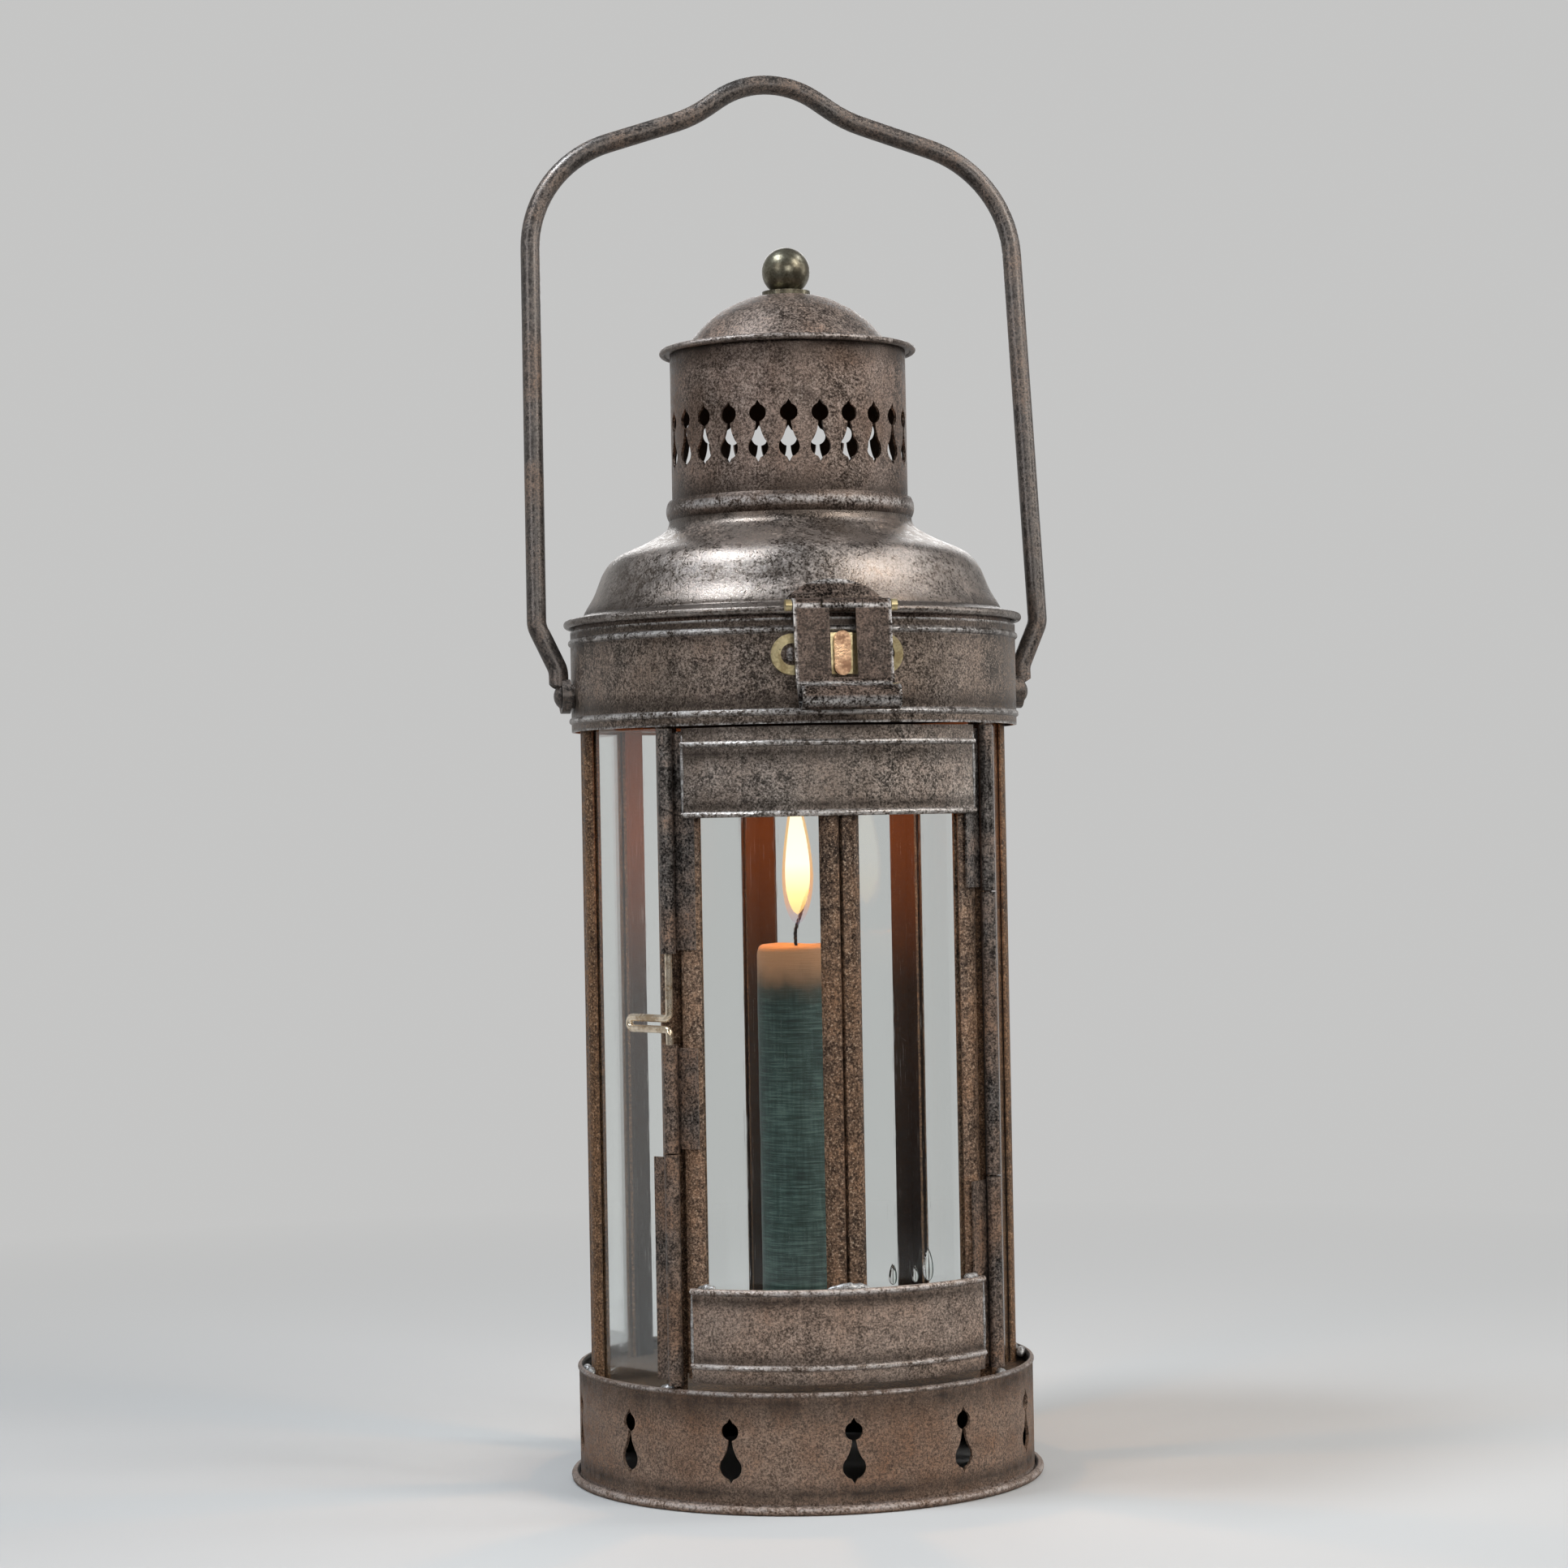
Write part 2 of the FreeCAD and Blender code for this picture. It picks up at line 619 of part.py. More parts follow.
def shoulder_fill(distance, foot_height):
    """Everything under an offset of the shoulder's outer line, down to a height."""
    curve = shoulder_line(distance).toShape()
    high = curve.Vertexes[0].Point
    low = curve.Vertexes[-1].Point
    corners = [low, V(low.x, 0, foot_height), V(0, 0, foot_height), V(0, 0, high.z), high]
    return spun([curve] + [line(a, b) for a, b in zip(corners, corners[1:])])


brim_edge_height = brim_height - roof_sheet / 2
brim_roll = bead(brim_radius, brim_edge_height, brim_bead)
pieces["roof_shoulder"] = joined([shoulder_wall(-roof_sheet, 0), brim_roll])
spigot_outside = collar_inside - spigot_gap
spigot = band(spigot_outside - roof_sheet, spigot_outside, collar_top - spigot_depth, neck_height)
under_roof = shoulder_fill(-roof_sheet - solder, collar_top - 2 * spigot_depth)
pieces["roof_spigot"] = spigot.common(under_roof)

# Chimney, the rolled bead at its foot, the domed cap and its knob

chimney_radius = neck_radius - roof_sheet - solder
chimney_low = neck_height - chimney_overlap
chimney_top = chimney_low + chimney_height
tube = band(chimney_radius - roof_sheet, chimney_radius, chimney_low, chimney_top)
piercing = gourd(chimney_low + piercing_upper_rise, chimney_low + piercing_lower_rise,
                 piercing_upper_radius, piercing_lower_radius, outside)
pieces["chimney"] = pierced(tube, piercing, piercing_count)
bead_inside = chimney_radius + solder
bead_shoulder = bead_inside + chimney_bead_width / 2
bead_high = neck_height + chimney_bead_height
bead_foot = V(bead_shoulder, 0, neck_height)
bead_crown = V(bead_inside + chimney_bead_width, 0, neck_height + chimney_bead_height / 2)
bead_top = V(bead_shoulder, 0, bead_high)
pieces["chimney_bead"] = spun([line(V(bead_inside, 0, neck_height), bead_foot),
                               arc(bead_foot, bead_crown, bead_top),
                               line(bead_top, V(bead_inside, 0, bead_high)),
                               line(V(bead_inside, 0, bead_high), V(bead_inside, 0, neck_height))])

cap_seat = chimney_top + solder
brim_inner = cap_radius - cap_brim_width
cap_low = cap_seat + roof_sheet
cap_high = cap_low + cap_rise
dome_points = [(cap_flat + (brim_inner - cap_flat) * r, cap_low + cap_rise * z)
               for r, z in [(0.0, 1.0)] + cap_bends + [(1.0, 0.0)]]
flat_tangent = V(1, 0, 0)
dome_curve = smooth(dome_points, flat_tangent, flat_tangent)
dome_inner = smooth(moved_out(dome_curve, dome_points, -roof_sheet), flat_tangent, flat_tangent)
cap_section = [line(V(0, 0, cap_high), V(cap_flat, 0, cap_high)), dome_curve.toShape(),
               line(V(brim_inner, 0, cap_low), V(cap_radius, 0, cap_low)),
               line(V(cap_radius, 0, cap_low), V(cap_radius, 0, cap_seat)),
               line(V(cap_radius, 0, cap_seat), V(brim_inner, 0, cap_seat)), dome_inner.toShape(),
               line(V(cap_flat, 0, cap_high - roof_sheet), V(0, 0, cap_high - roof_sheet)),
               line(V(0, 0, cap_high - roof_sheet), V(0, 0, cap_high))]
cap_roll = bead(cap_radius, cap_seat + roof_sheet / 2, cap_bead)
pieces["cap_dome"] = joined([spun(Part.__sortEdges__(cap_section)), cap_roll])

ball_middle = cap_high + knob_height
ball_foot = ball_middle - math.sqrt(knob_radius ** 2 - knob_neck_radius ** 2)
knob_flange_top = cap_high + knob_flange
knob_foot = [V(0, 0, cap_high), V(knob_flange_radius, 0, cap_high),
             V(knob_flange_radius, 0, knob_flange_top), V(knob_neck_radius, 0, knob_flange_top),
             V(knob_neck_radius, 0, ball_foot)]
ball_top = V(0, 0, ball_middle + knob_radius)
knob_section = [line(a, b) for a, b in zip(knob_foot, knob_foot[1:])]
knob_section.append(arc(knob_foot[-1], V(knob_radius, 0, ball_middle), ball_top))
knob_section.append(line(ball_top, knob_foot[0]))
pieces["knob"] = spun(knob_section)

# Leaves on the roof: the hasp's at the front and the hinge's at the back, with a middle knuckle each

half_leaf = leaf_width / 2
half_split = roof_knuckle_split / 2
brim_outside = brim_radius + brim_bead
pin_reach = brim_outside + swing_gap + roof_knuckle_radius
pin_height = brim_height + roof_pin_lift
knuckle_top = pin_height + roof_knuckle_radius
knuckle_clear = roof_knuckle_radius + swing_gap


def roof_leaf():
    """Half-round leaf that follows the shoulder and reaches over the brim to its knuckle."""
    sheet_top = shoulder_wall(solder, solder + roof_sheet)
    shoulder_z = pin_height + leaf_shoulder
    patch_low = knuckle_top - roof_sheet
    corners = [V(-half_leaf, 0, patch_low), V(-half_leaf, 0, shoulder_z),
               V(0, 0, pin_height + leaf_rise), V(half_leaf, 0, shoulder_z), V(half_leaf, 0, patch_low)]
    edges = [line(corners[0], corners[1]), arc(corners[1], corners[2], corners[3]),
             line(corners[3], corners[4]), line(corners[4], corners[0])]
    window = Part.Face(Part.Wire(edges)).extrude(V(0, -outside, 0))
    patch = sheet_top.common(window)
    bridge = slab([(0, knuckle_top - roof_sheet), (pin_reach, knuckle_top - roof_sheet),
                   (pin_reach, knuckle_top), (0, knuckle_top)], half_leaf)
    bridge = bridge.cut(shoulder_fill(solder, collar_bottom))
    notches = [slab([(pin_reach - knuckle_clear, pin_height - knuckle_clear),
                     (pin_reach + knuckle_clear, pin_height - knuckle_clear),
                     (pin_reach + knuckle_clear, knuckle_top + leaf_rise),
                     (pin_reach - knuckle_clear, knuckle_top + leaf_rise)], end, start)
               for start, end in ((-leaf_width, -half_split), (half_split, leaf_width))]
    tube = cross_bar(roof_knuckle_radius, pin_reach, pin_height, -half_split, half_split)
    bore = cross_bar(roof_pin_radius + run_gap, pin_reach, pin_height, -half_leaf, half_leaf)
    front_only = Part.makeBox(leaf_width * 2, outside - neck_radius, leaf_width * 2,
                              V(-leaf_width, -outside, pin_height - leaf_width))
    leaf = joined([patch, bridge.cut(notches), tube]).cut(bore)
    return leaf.common(front_only)


def roof_pin():
    """Pin through the knuckles, with a rounded head at each end."""
    head_start = half_leaf + swing_gap
    bar = cross_bar(roof_pin_radius, pin_reach, pin_height, -head_start, head_start)
    heads = [cross_bar(roof_pin_head, pin_reach, pin_height, side * head_start,
                       side * (head_start + roof_pin_head_length)) for side in (-1, 1)]
    return joined([bar] + heads)


knuckle_start = half_split + swing_gap


def outer_knuckles():
    """The two knuckles outside the leaf's middle one."""
    return [cross_bar(roof_knuckle_radius, pin_reach, pin_height, side * knuckle_start, side * half_leaf)
            for side in (-1, 1)]


pin_bore = cross_bar(roof_pin_radius + run_gap, pin_reach, pin_height, -leaf_width, leaf_width)
pieces["hasp_leaf"] = roof_leaf()
pieces["hasp_pin"] = roof_pin()
pieces["roof_hinge_leaf"] = turned(roof_leaf(), 180)
pieces["roof_hinge_pin"] = turned(roof_pin(), 180)

# Collar's half of the back hinge: a plate on the collar with two arms up to the outer knuckles

leaf_face = collar_radius + solder
arm_outside = pin_reach + roof_knuckle_radius
plate_low = pin_height - collar_leaf_drop
plate_high = collar_top - 2 * collar_bead_inset
plate_width = Part.makeBox(leaf_width, outside, neck_height, V(-half_leaf, -outside, 0))
plate = band(leaf_face, leaf_face + sheet, plate_low, plate_high, -plate_sector, plate_sector)
plate = plate.common(plate_width)
arm_bend = pin_height - roof_knuckle_radius
arm_section = [(leaf_face, plate_low), (leaf_face + sheet, plate_low), (arm_outside, arm_bend),
               (arm_outside, pin_height), (arm_outside - sheet, pin_height),
               (arm_outside - sheet, arm_bend), (leaf_face, plate_low + 2 * sheet)]
arms = [slab(arm_section, end, start)
        for start, end in ((-half_leaf, -knuckle_start), (knuckle_start, half_leaf))]
collar_leaf = joined([plate] + arms + outer_knuckles())
collar_leaf = collar_leaf.cut([pin_bore, band(0, leaf_face, 0, neck_height)])
pieces["collar_hinge_leaf"] = turned(collar_leaf, 180)

# Staple: curved brass plate with two eyed ears and a square boss, riveted to the collar

staple_inside = collar_radius + solder / 2
staple_outside = staple_inside + sheet
half_height = staple_height / 2
ear_reach = staple_length / 2 - half_height
strap_back = pin_reach + roof_knuckle_radius - sheet
latched_slope = (strap_back - staple_outside - swing_gap) / (pin_height - latch_height + half_height)
button_top_drop = pin_height - latch_height - button_width / 2
latched_front = strap_back - latched_slope * button_top_drop + sheet * math.hypot(1, latched_slope)
boss_front = latched_front + swing_gap - run_gap
staple_low = latch_height - half_height
staple_high = latch_height + half_height


def ear_bars(radius):
    """Round bars towards the front, through the middles of the two ears."""
    return [pin(radius, V(x, 0, latch_height), V(x, -outside, latch_height))
            for x in (-ear_reach, ear_reach)]


def upright(half_width, low, high, start, end):
    """Block that stands across the front between two heights."""
    return prism([(-half_width, low), (half_width, low), (half_width, high), (-half_width, high)], start, end)


blank = joined(ear_bars(half_height) + [upright(ear_reach, staple_low, staple_high, 0, outside)])
staple = band(staple_inside, staple_outside, staple_low, staple_high, -plate_sector, plate_sector)
staple = staple.common(blank).cut(ear_bars(staple_eye_radius))
boss = upright(staple_boss_width / 2, staple_low, staple_high, staple_inside, boss_front)
boss = boss.cut(band(0, staple_inside, 0, neck_height))
pieces["staple_plate"] = joined([staple, boss]).cut(button_hole)
ear_angle = math.degrees(math.asin(ear_reach / collar_radius))
staple_rivet = pin(staple_rivet_radius, V(0, -collar_radius - solder / 2, latch_height),
                   V(0, -staple_outside, latch_height))
pieces["staple_rivets"] = Part.makeCompound([turned(staple_rivet, side * ear_angle) for side in (-1, 1)])

# Turn-button: a bar on a shank through the boss and the collar, with a peened tail inside

button_back = boss_front + run_gap
button_front = button_back + button_thickness
half_bar = button_width / 2
bar_low = latch_height - button_length / 2 + half_bar
bar_high = latch_height + button_length / 2 - half_bar
bar_ends = [pin(half_bar, V(0, -button_back, z), V(0, -button_front, z)) for z in (bar_low, bar_high)]
bar = joined([upright(half_bar, bar_low, bar_high, button_back, button_front)] + bar_ends)
tail_front = collar_inside - swing_gap
shank = pin(button_shank_radius, V(0, -tail_front, latch_height), V(0, -button_front, latch_height))
tail = pin(button_tail_radius, V(0, -tail_front + sheet, latch_height), V(0, -tail_front, latch_height))
pieces["turn_button"] = joined([bar, shank, tail])

# Hasp strap: slotted plate from the outer knuckles, kicked out at a crease to a rolled finger curl.
# It hangs just in front of the turn-button, and swings in over it to latch.

kick_reach = pin_reach + hasp_curl_reach - hasp_curl_radius
kick_height = pin_height - hasp_curl_drop
strap_front = strap_back + sheet
strap_section = [(strap_back, pin_height), (strap_front, pin_height),
                 (strap_front, pin_height - hasp_crease + sheet / 2),
                 (kick_reach + sheet, kick_height), (kick_reach + sheet / 4, kick_height),
                 (strap_back, pin_height - hasp_crease)]
curl_reach = pin_reach + hasp_curl_reach


def curl_bar(radius, half_width):
    """Round bar along the middle of the finger curl."""
    return cross_bar(radius, curl_reach, kick_height, -half_width, half_width)


curl = curl_bar(hasp_curl_radius, half_leaf).cut(curl_bar(hasp_curl_radius - sheet, leaf_width))
strap = joined([slab(strap_section, half_leaf)] + outer_knuckles())
strap = strap.cut(curl_bar(hasp_curl_radius - sheet / 2, leaf_width))
slot_back = pin_reach - knuckle_clear
slot_low = pin_height - hasp_slot_end
slot = slab([(slot_back, slot_low), (curl_reach, slot_low), (curl_reach, pin_height), (slot_back, pin_height)],
            hasp_slot_width / 2)
middle_relief = cross_bar(knuckle_clear, pin_reach, pin_height, -knuckle_start, knuckle_start)
strap = joined([strap, curl]).cut([slot, middle_relief, pin_bore])
strap_clear = (button_front + swing_gap - strap_back) / (pin_height - latch_height - button_length / 2)
hang_angle = math.degrees(math.atan(strap_clear))
latch_angle = math.degrees(math.atan(latched_slope))
strap.rotate(V(0, -pin_reach, pin_height), V(-1, 0, 0), hang_angle)
pieces["hasp_strap"] = strap
print("hasp hangs out by %.2f degrees and latches in by %.2f degrees" % (hang_angle, latch_angle))

# Candle with a melted pool, on the spike, and its wick

pool_floor = candle_top - candle_pool
wick_low = pool_floor - wick_depth
bore_radius = spike_radius + solder
bore_top = spike_tip + solder
flange_bore = spike_flange + solder
candle_outline = outline([(0, bore_top), (bore_radius, bore_top), (bore_radius, flange_top + solder),
                          (flange_bore, flange_top + solder), (flange_bore, dish_floor),
                          (candle_radius, dish_floor), (candle_radius, candle_top - candle_edge),
                          (candle_radius - candle_edge / 3, candle_top),
                          (candle_radius - candle_edge, candle_top),
                          (candle_radius - 2 * candle_edge, pool_floor),
                          (wick_radius + solder, pool_floor), (wick_radius + solder, wick_low),
                          (0, wick_low)])
pieces["candle"] = spun(candle_outline)
pieces["wick"] = pin(wick_radius, V(0, 0, wick_low + solder), V(0, 0, wick_low + wick_length))

os.makedirs("parts", exist_ok=True)
for name, shape in pieces.items():
    counts = (name, len(shape.Solids), shape.isValid(), shape.Volume)
    print("%-20s solids %d valid %s volume %.1f" % counts)
    shape.exportStep("parts/%s.step" % name)
print("pieces: %d" % len(pieces))
print("hinge and bolt axes at radius %.3f" % tube_reach)
print("roof pins at reach %.3f, height %.3f" % (pin_reach, pin_height))
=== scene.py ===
# %% [markdown]
# # Candle lantern
# A round sheet-iron lantern with eight sides of glass, a hinged roof, a door and a carrying bail.
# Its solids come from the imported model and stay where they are. This lesson gives each of them the
# finish of the real thing, and adds what belongs to looks alone: wax, wick, flame, solder, thin stop
# strips and drips.

import math

import bmesh
import bpy
from mathutils import Matrix, Quaternion, Vector, noise


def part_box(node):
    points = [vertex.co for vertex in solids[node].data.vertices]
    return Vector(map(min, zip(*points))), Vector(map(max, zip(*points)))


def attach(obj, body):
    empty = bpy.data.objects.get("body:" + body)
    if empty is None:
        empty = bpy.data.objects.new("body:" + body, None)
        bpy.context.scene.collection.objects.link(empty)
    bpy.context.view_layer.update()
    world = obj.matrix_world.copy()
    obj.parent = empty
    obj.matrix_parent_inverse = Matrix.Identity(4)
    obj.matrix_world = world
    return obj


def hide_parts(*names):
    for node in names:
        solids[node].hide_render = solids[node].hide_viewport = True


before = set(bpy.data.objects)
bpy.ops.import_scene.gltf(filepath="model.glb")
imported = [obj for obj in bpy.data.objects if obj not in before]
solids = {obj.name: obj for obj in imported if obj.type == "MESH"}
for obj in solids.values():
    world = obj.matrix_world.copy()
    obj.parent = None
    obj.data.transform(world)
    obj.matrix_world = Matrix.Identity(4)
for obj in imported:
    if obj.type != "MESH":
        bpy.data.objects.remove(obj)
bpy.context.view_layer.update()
scene = bpy.context.scene
scene.view_settings.view_transform = "Standard"

# %% [markdown]
# ## Camera
# The lantern is seen from just left of its door, with the eye level with the flame. The distance and
# the lens are worked out from how the round brims look: the base shows its rim from above and the
# collar from below. The picture leans by about one degree, so the camera rolls by that much.

# %% Camera at the viewing angle
EYE_AZIMUTH = math.radians(-11.0)
EYE_DISTANCE = 1.364
EYE_HEIGHT = 0.2497
EYE_SIDESTEP = -0.0043
EYE_LEAN = math.radians(-1.061)
AIM_HEIGHT = 0.2625
LENS = 81.8
SENSOR = 36.0

toward_eye = Vector((math.sin(EYE_AZIMUTH), -math.cos(EYE_AZIMUTH), 0))
sidestep = Vector((math.cos(EYE_AZIMUTH), math.sin(EYE_AZIMUTH), 0)) * EYE_SIDESTEP
lens = bpy.data.cameras.new("eye")
lens.lens = LENS
lens.sensor_width = SENSOR
eye = bpy.data.objects.new("eye", lens)
scene.collection.objects.link(eye)
eye.location = toward_eye * EYE_DISTANCE + sidestep + Vector((0, 0, EYE_HEIGHT))
aim = sidestep + Vector((0, 0, AIM_HEIGHT))
level = (aim - eye.location).to_track_quat("-Z", "Y")
eye.rotation_mode = "QUATERNION"
eye.rotation_quaternion = level @ Quaternion((0, 0, 1), EYE_LEAN)
scene.camera = eye
print("camera at", [round(x, 3) for x in eye.location])

# %% [markdown]
# ## Tools for finishes
# Every finish is a few layers of noise in object coordinates, so the same speckle runs over all the
# pieces at one scale, in metres. These helpers name the layers by their real size. A finish could
# also be painted on an image, but noise has no seams and stays sharp at any distance.

# %% Helpers for values
def put(tree, socket, value):
    """Links a socket, or sets its own value."""
    if isinstance(value, bpy.types.NodeSocket):
        tree.links.new(value, socket)
    elif socket.type == "RGBA":
        socket.default_value = (*value[:3], 1.0)
    else:
        socket.default_value = value


def maths(tree, way, first, second=0.0):
    """One sum on two values."""
    node = tree.nodes.new("ShaderNodeMath")
    node.operation = way
    put(tree, node.inputs[0], first)
    put(tree, node.inputs[1], second)
    return node.outputs[0]


def vector_maths(tree, way, first, second=(0.0, 0.0, 0.0)):
    """One sum on two vectors; gives the node, which has a Vector and a Value."""
    node = tree.nodes.new("ShaderNodeVectorMath")
    node.operation = way
    put(tree, node.inputs[0], first)
    put(tree, node.inputs[1], second)
    return node


def span(tree, value, low, high, to_low=0.0, to_high=1.0):
    """Maps a range of values onto another, and holds the ends."""
    node = tree.nodes.new("ShaderNodeMapRange")
    put(tree, node.inputs["Value"], value)
    put(tree, node.inputs["From Min"], low)
    put(tree, node.inputs["From Max"], high)
    put(tree, node.inputs["To Min"], to_low)
    put(tree, node.inputs["To Max"], to_high)
    return node.outputs[0]


def mixture(tree, *parts):
    """Sum of (layer, weight) parts."""
    total = None
    for layer, weight in parts:
        part = maths(tree, "MULTIPLY", layer, weight)
        total = part if total is None else maths(tree, "ADD", total, part)
    return total


def axis_of(tree, place, axis):
    """One coordinate of a place, in metres."""
    split = tree.nodes.new("ShaderNodeSeparateXYZ")
    put(tree, split.inputs[0], place)
    return split.outputs[axis]


def height_above(tree, coords):
    """Height above the foot, in metres."""
    return axis_of(tree, coords, "Z")


print("value helpers are ready")

# %% Helpers for colours and shaders
def new_finish(name):
    """Material, its tree, its shader and its object coordinates."""
    material = bpy.data.materials.new(name)
    material.use_nodes = True
    tree = material.node_tree
    coords = tree.nodes.new("ShaderNodeTexCoord").outputs["Object"]
    return material, tree, tree.nodes["Principled BSDF"], coords


def speckle(tree, coords, size, detail=3.0, rough=0.6, stretch=(1.0, 1.0, 1.0)):
    """Noise with features about size metres across, stretched along the axes."""
    place = tree.nodes.new("ShaderNodeMapping")
    put(tree, place.inputs["Vector"], coords)
    place.inputs["Scale"].default_value = [1.0 / s for s in stretch]
    layer = tree.nodes.new("ShaderNodeTexNoise")
    put(tree, layer.inputs["Vector"], place.outputs[0])
    layer.inputs["Scale"].default_value = 1.0 / size
    layer.inputs["Detail"].default_value = detail
    layer.inputs["Roughness"].default_value = rough
    return layer.outputs[0]


def layered(tree, share, under, over):
    """Colour over a colour, by a share."""
    node = tree.nodes.new("ShaderNodeMix")
    node.data_type = "RGBA"
    put(tree, node.inputs[0], share)
    put(tree, node.inputs[6], under)
    put(tree, node.inputs[7], over)
    return node.outputs[2]


def shades(tree, value, stops):
    """Colour ramp through (place, colour) stops."""
    node = tree.nodes.new("ShaderNodeValToRGB")
    put(tree, node.inputs[0], value)
    ramp = node.color_ramp.elements
    while len(ramp) < len(stops):
        ramp.new(1.0)
    for element, (place, colour) in zip(ramp, stops):
        element.position = place
        element.color = (*colour, 1.0)
    return node.outputs[0]


def bumped(tree, shader, height, depth):
    """Relief on a shader, with its depth in metres."""
    node = tree.nodes.new("ShaderNodeBump")
    node.inputs["Strength"].default_value = 1.0
    node.inputs["Distance"].default_value = depth
    put(tree, node.inputs["Height"], height)
    put(tree, shader.inputs["Normal"], node.outputs[0])


def over_shader(tree, share, under, over):
    """Shader over a shader, by a share."""
    node = tree.nodes.new("ShaderNodeMixShader")
    put(tree, node.inputs[0], share)
    put(tree, node.inputs[1], under)
    put(tree, node.inputs[2], over)
    return node.outputs[0]


def show(tree, surface):
    """Makes a shader the one that a material shows."""
    put(tree, tree.nodes["Material Output"].inputs["Surface"], surface)


print("finish helpers are ready")

# %% [markdown]
# ## Studio
# Dark metal shows its shape by what it mirrors, so two small softboxes hang overhead for the sheen on
# the roof's shoulder. Larger ones stand to the right, to the left, in front and behind. One bare lamp
# would be simpler, but leaves a hard spot on every roll of the sheet.

# %% Softboxes
LAMP_AIM = Vector((0, 0, 0.28))


def softbox(name, place, size, watts, colour=(1.0, 1.0, 1.0)):
    """Rectangular lamp that faces the lantern's middle."""
    lamp = bpy.data.lights.new(name, "AREA")
    lamp.shape = "RECTANGLE"
    lamp.size, lamp.size_y = size
    lamp.energy = watts
    lamp.color = colour
    box = bpy.data.objects.new(name, lamp)
    box.location = place
    box.rotation_mode = "QUATERNION"
    box.rotation_quaternion = (LAMP_AIM - box.location).to_track_quat("-Z", "Y")
    box.visible_transmission = False
    scene.collection.objects.link(box)


softbox("key_right", (0.86, -0.84, 1.20), (0.50, 0.70), 14.0, (1.0, 0.98, 0.95))
softbox("strip_right", (1.30, -0.15, 0.65), (0.20, 0.8), 4.5)
softbox("fill_left", (-1.05, -0.85, 0.85), (0.3, 0.7), 5.0, (0.98, 0.98, 1.0))
softbox("front", (0.10, -1.90, 0.75), (0.9, 0.5), 8.5)
softbox("sheen_left", (-0.46, -0.10, 1.22), (0.26, 0.24), 11.0, (0.82, 0.91, 1.0))
softbox("sheen_right", (0.60, 0.02, 1.10), (0.20, 0.20), 2.0, (0.92, 0.96, 1.0))
softbox("rim_back", (0.3, 1.3, 0.9), (0.9, 0.6), 5.0)
print("softboxes:", len(bpy.data.lights))

# %% [markdown]
# ## World and floor
# The world looks pale to the camera, but lights the scene faintly, so that the lamps do the work. What
# the metal and the glass mirror from the front is dim, as if a dark cloth hung there: the round strips
# keep dark and light sides, and the panes stay clear. The floor fades into the world's colour, so no
# horizon shows.

# %% Which rays see what
FRONT_EDGE = 0.30


def seen_or_mirrored(tree):
    """One for rays from the camera, off a mirror or through glass, and nought for other rays."""
    rays = tree.nodes.new("ShaderNodeLightPath")
    looked = maths(tree, "MAXIMUM", rays.outputs["Is Camera Ray"], rays.outputs["Is Glossy Ray"])
    return maths(tree, "MAXIMUM", looked, rays.outputs["Is Transmission Ray"])


def mirrored_front(tree, place):
    """One for rays that have been mirrored and end in front of the lantern."""
    bounces = tree.nodes.new("ShaderNodeLightPath").outputs["Glossy Depth"]
    front = span(tree, axis_of(tree, place, "Y"), FRONT_EDGE, -FRONT_EDGE)
    return maths(tree, "MULTIPLY", front, maths(tree, "MINIMUM", bounces, 1.0))


print("ray helpers are ready")

# %% World
AMBIENT = 0.30
PALE = (0.56, 0.56, 0.555)
OVERHEAD = (0.12, 0.12, 0.125)
OVERHEAD_FROM = (0.26, 0.75)
DIM_FRONT = (0.06, 0.06, 0.063)

world = bpy.data.worlds.new("studio")
scene.world = world
world.use_nodes = True
sky = world.node_tree
sky.nodes.clear()
direction = sky.nodes.new("ShaderNodeTexCoord").outputs["Generated"]
overhead = span(sky, height_above(sky, direction), *OVERHEAD_FROM)
pale_sky = layered(sky, overhead, PALE, OVERHEAD)
shown = sky.nodes.new("ShaderNodeBackground")
put(sky, shown.inputs["Color"], layered(sky, mirrored_front(sky, direction), pale_sky, DIM_FRONT))
ambient = sky.nodes.new("ShaderNodeBackground")
ambient.inputs["Strength"].default_value = AMBIENT
either = over_shader(sky, seen_or_mirrored(sky), ambient.outputs[0], shown.outputs[0])
put(sky, sky.nodes.new("ShaderNodeOutputWorld").inputs[0], either)
print("ambient strength:", AMBIENT)

# %% Floor
FLOOR = (0.43, 0.427, 0.42)
FLOOR_RADIUS = 6.0
FLOOR_SIDES = 96
FLOOR_FADE = (0.25, 0.95)
FLOOR_ROUGHNESS = 0.9

turns = [math.tau * i / FLOOR_SIDES for i in range(FLOOR_SIDES)]
ring = [(FLOOR_RADIUS * math.cos(turn), FLOOR_RADIUS * math.sin(turn), 0.0) for turn in turns]
floor_mesh = bpy.data.meshes.new("floor")
floor_mesh.from_pydata(ring, [], [list(range(FLOOR_SIDES))])
floor = bpy.data.objects.new("floor", floor_mesh)
scene.collection.objects.link(floor)

pale_floor, tree, shader, coords = new_finish("pale_floor")
put(tree, shader.inputs["Base Color"], FLOOR)
shader.inputs["Roughness"].default_value = FLOOR_ROUGHNESS
far = span(tree, vector_maths(tree, "LENGTH", coords).outputs["Value"], *FLOOR_FADE)
backdrop = tree.nodes.new("ShaderNodeEmission")
put(tree, backdrop.inputs["Color"], layered(tree, mirrored_front(tree, coords), PALE, DIM_FRONT))
faded = maths(tree, "MULTIPLY", far, seen_or_mirrored(tree))
show(tree, over_shader(tree, faded, shader.outputs[0], backdrop.outputs[0]))
floor_mesh.materials.append(pale_floor)
print("floor radius in metres:", FLOOR_RADIUS)

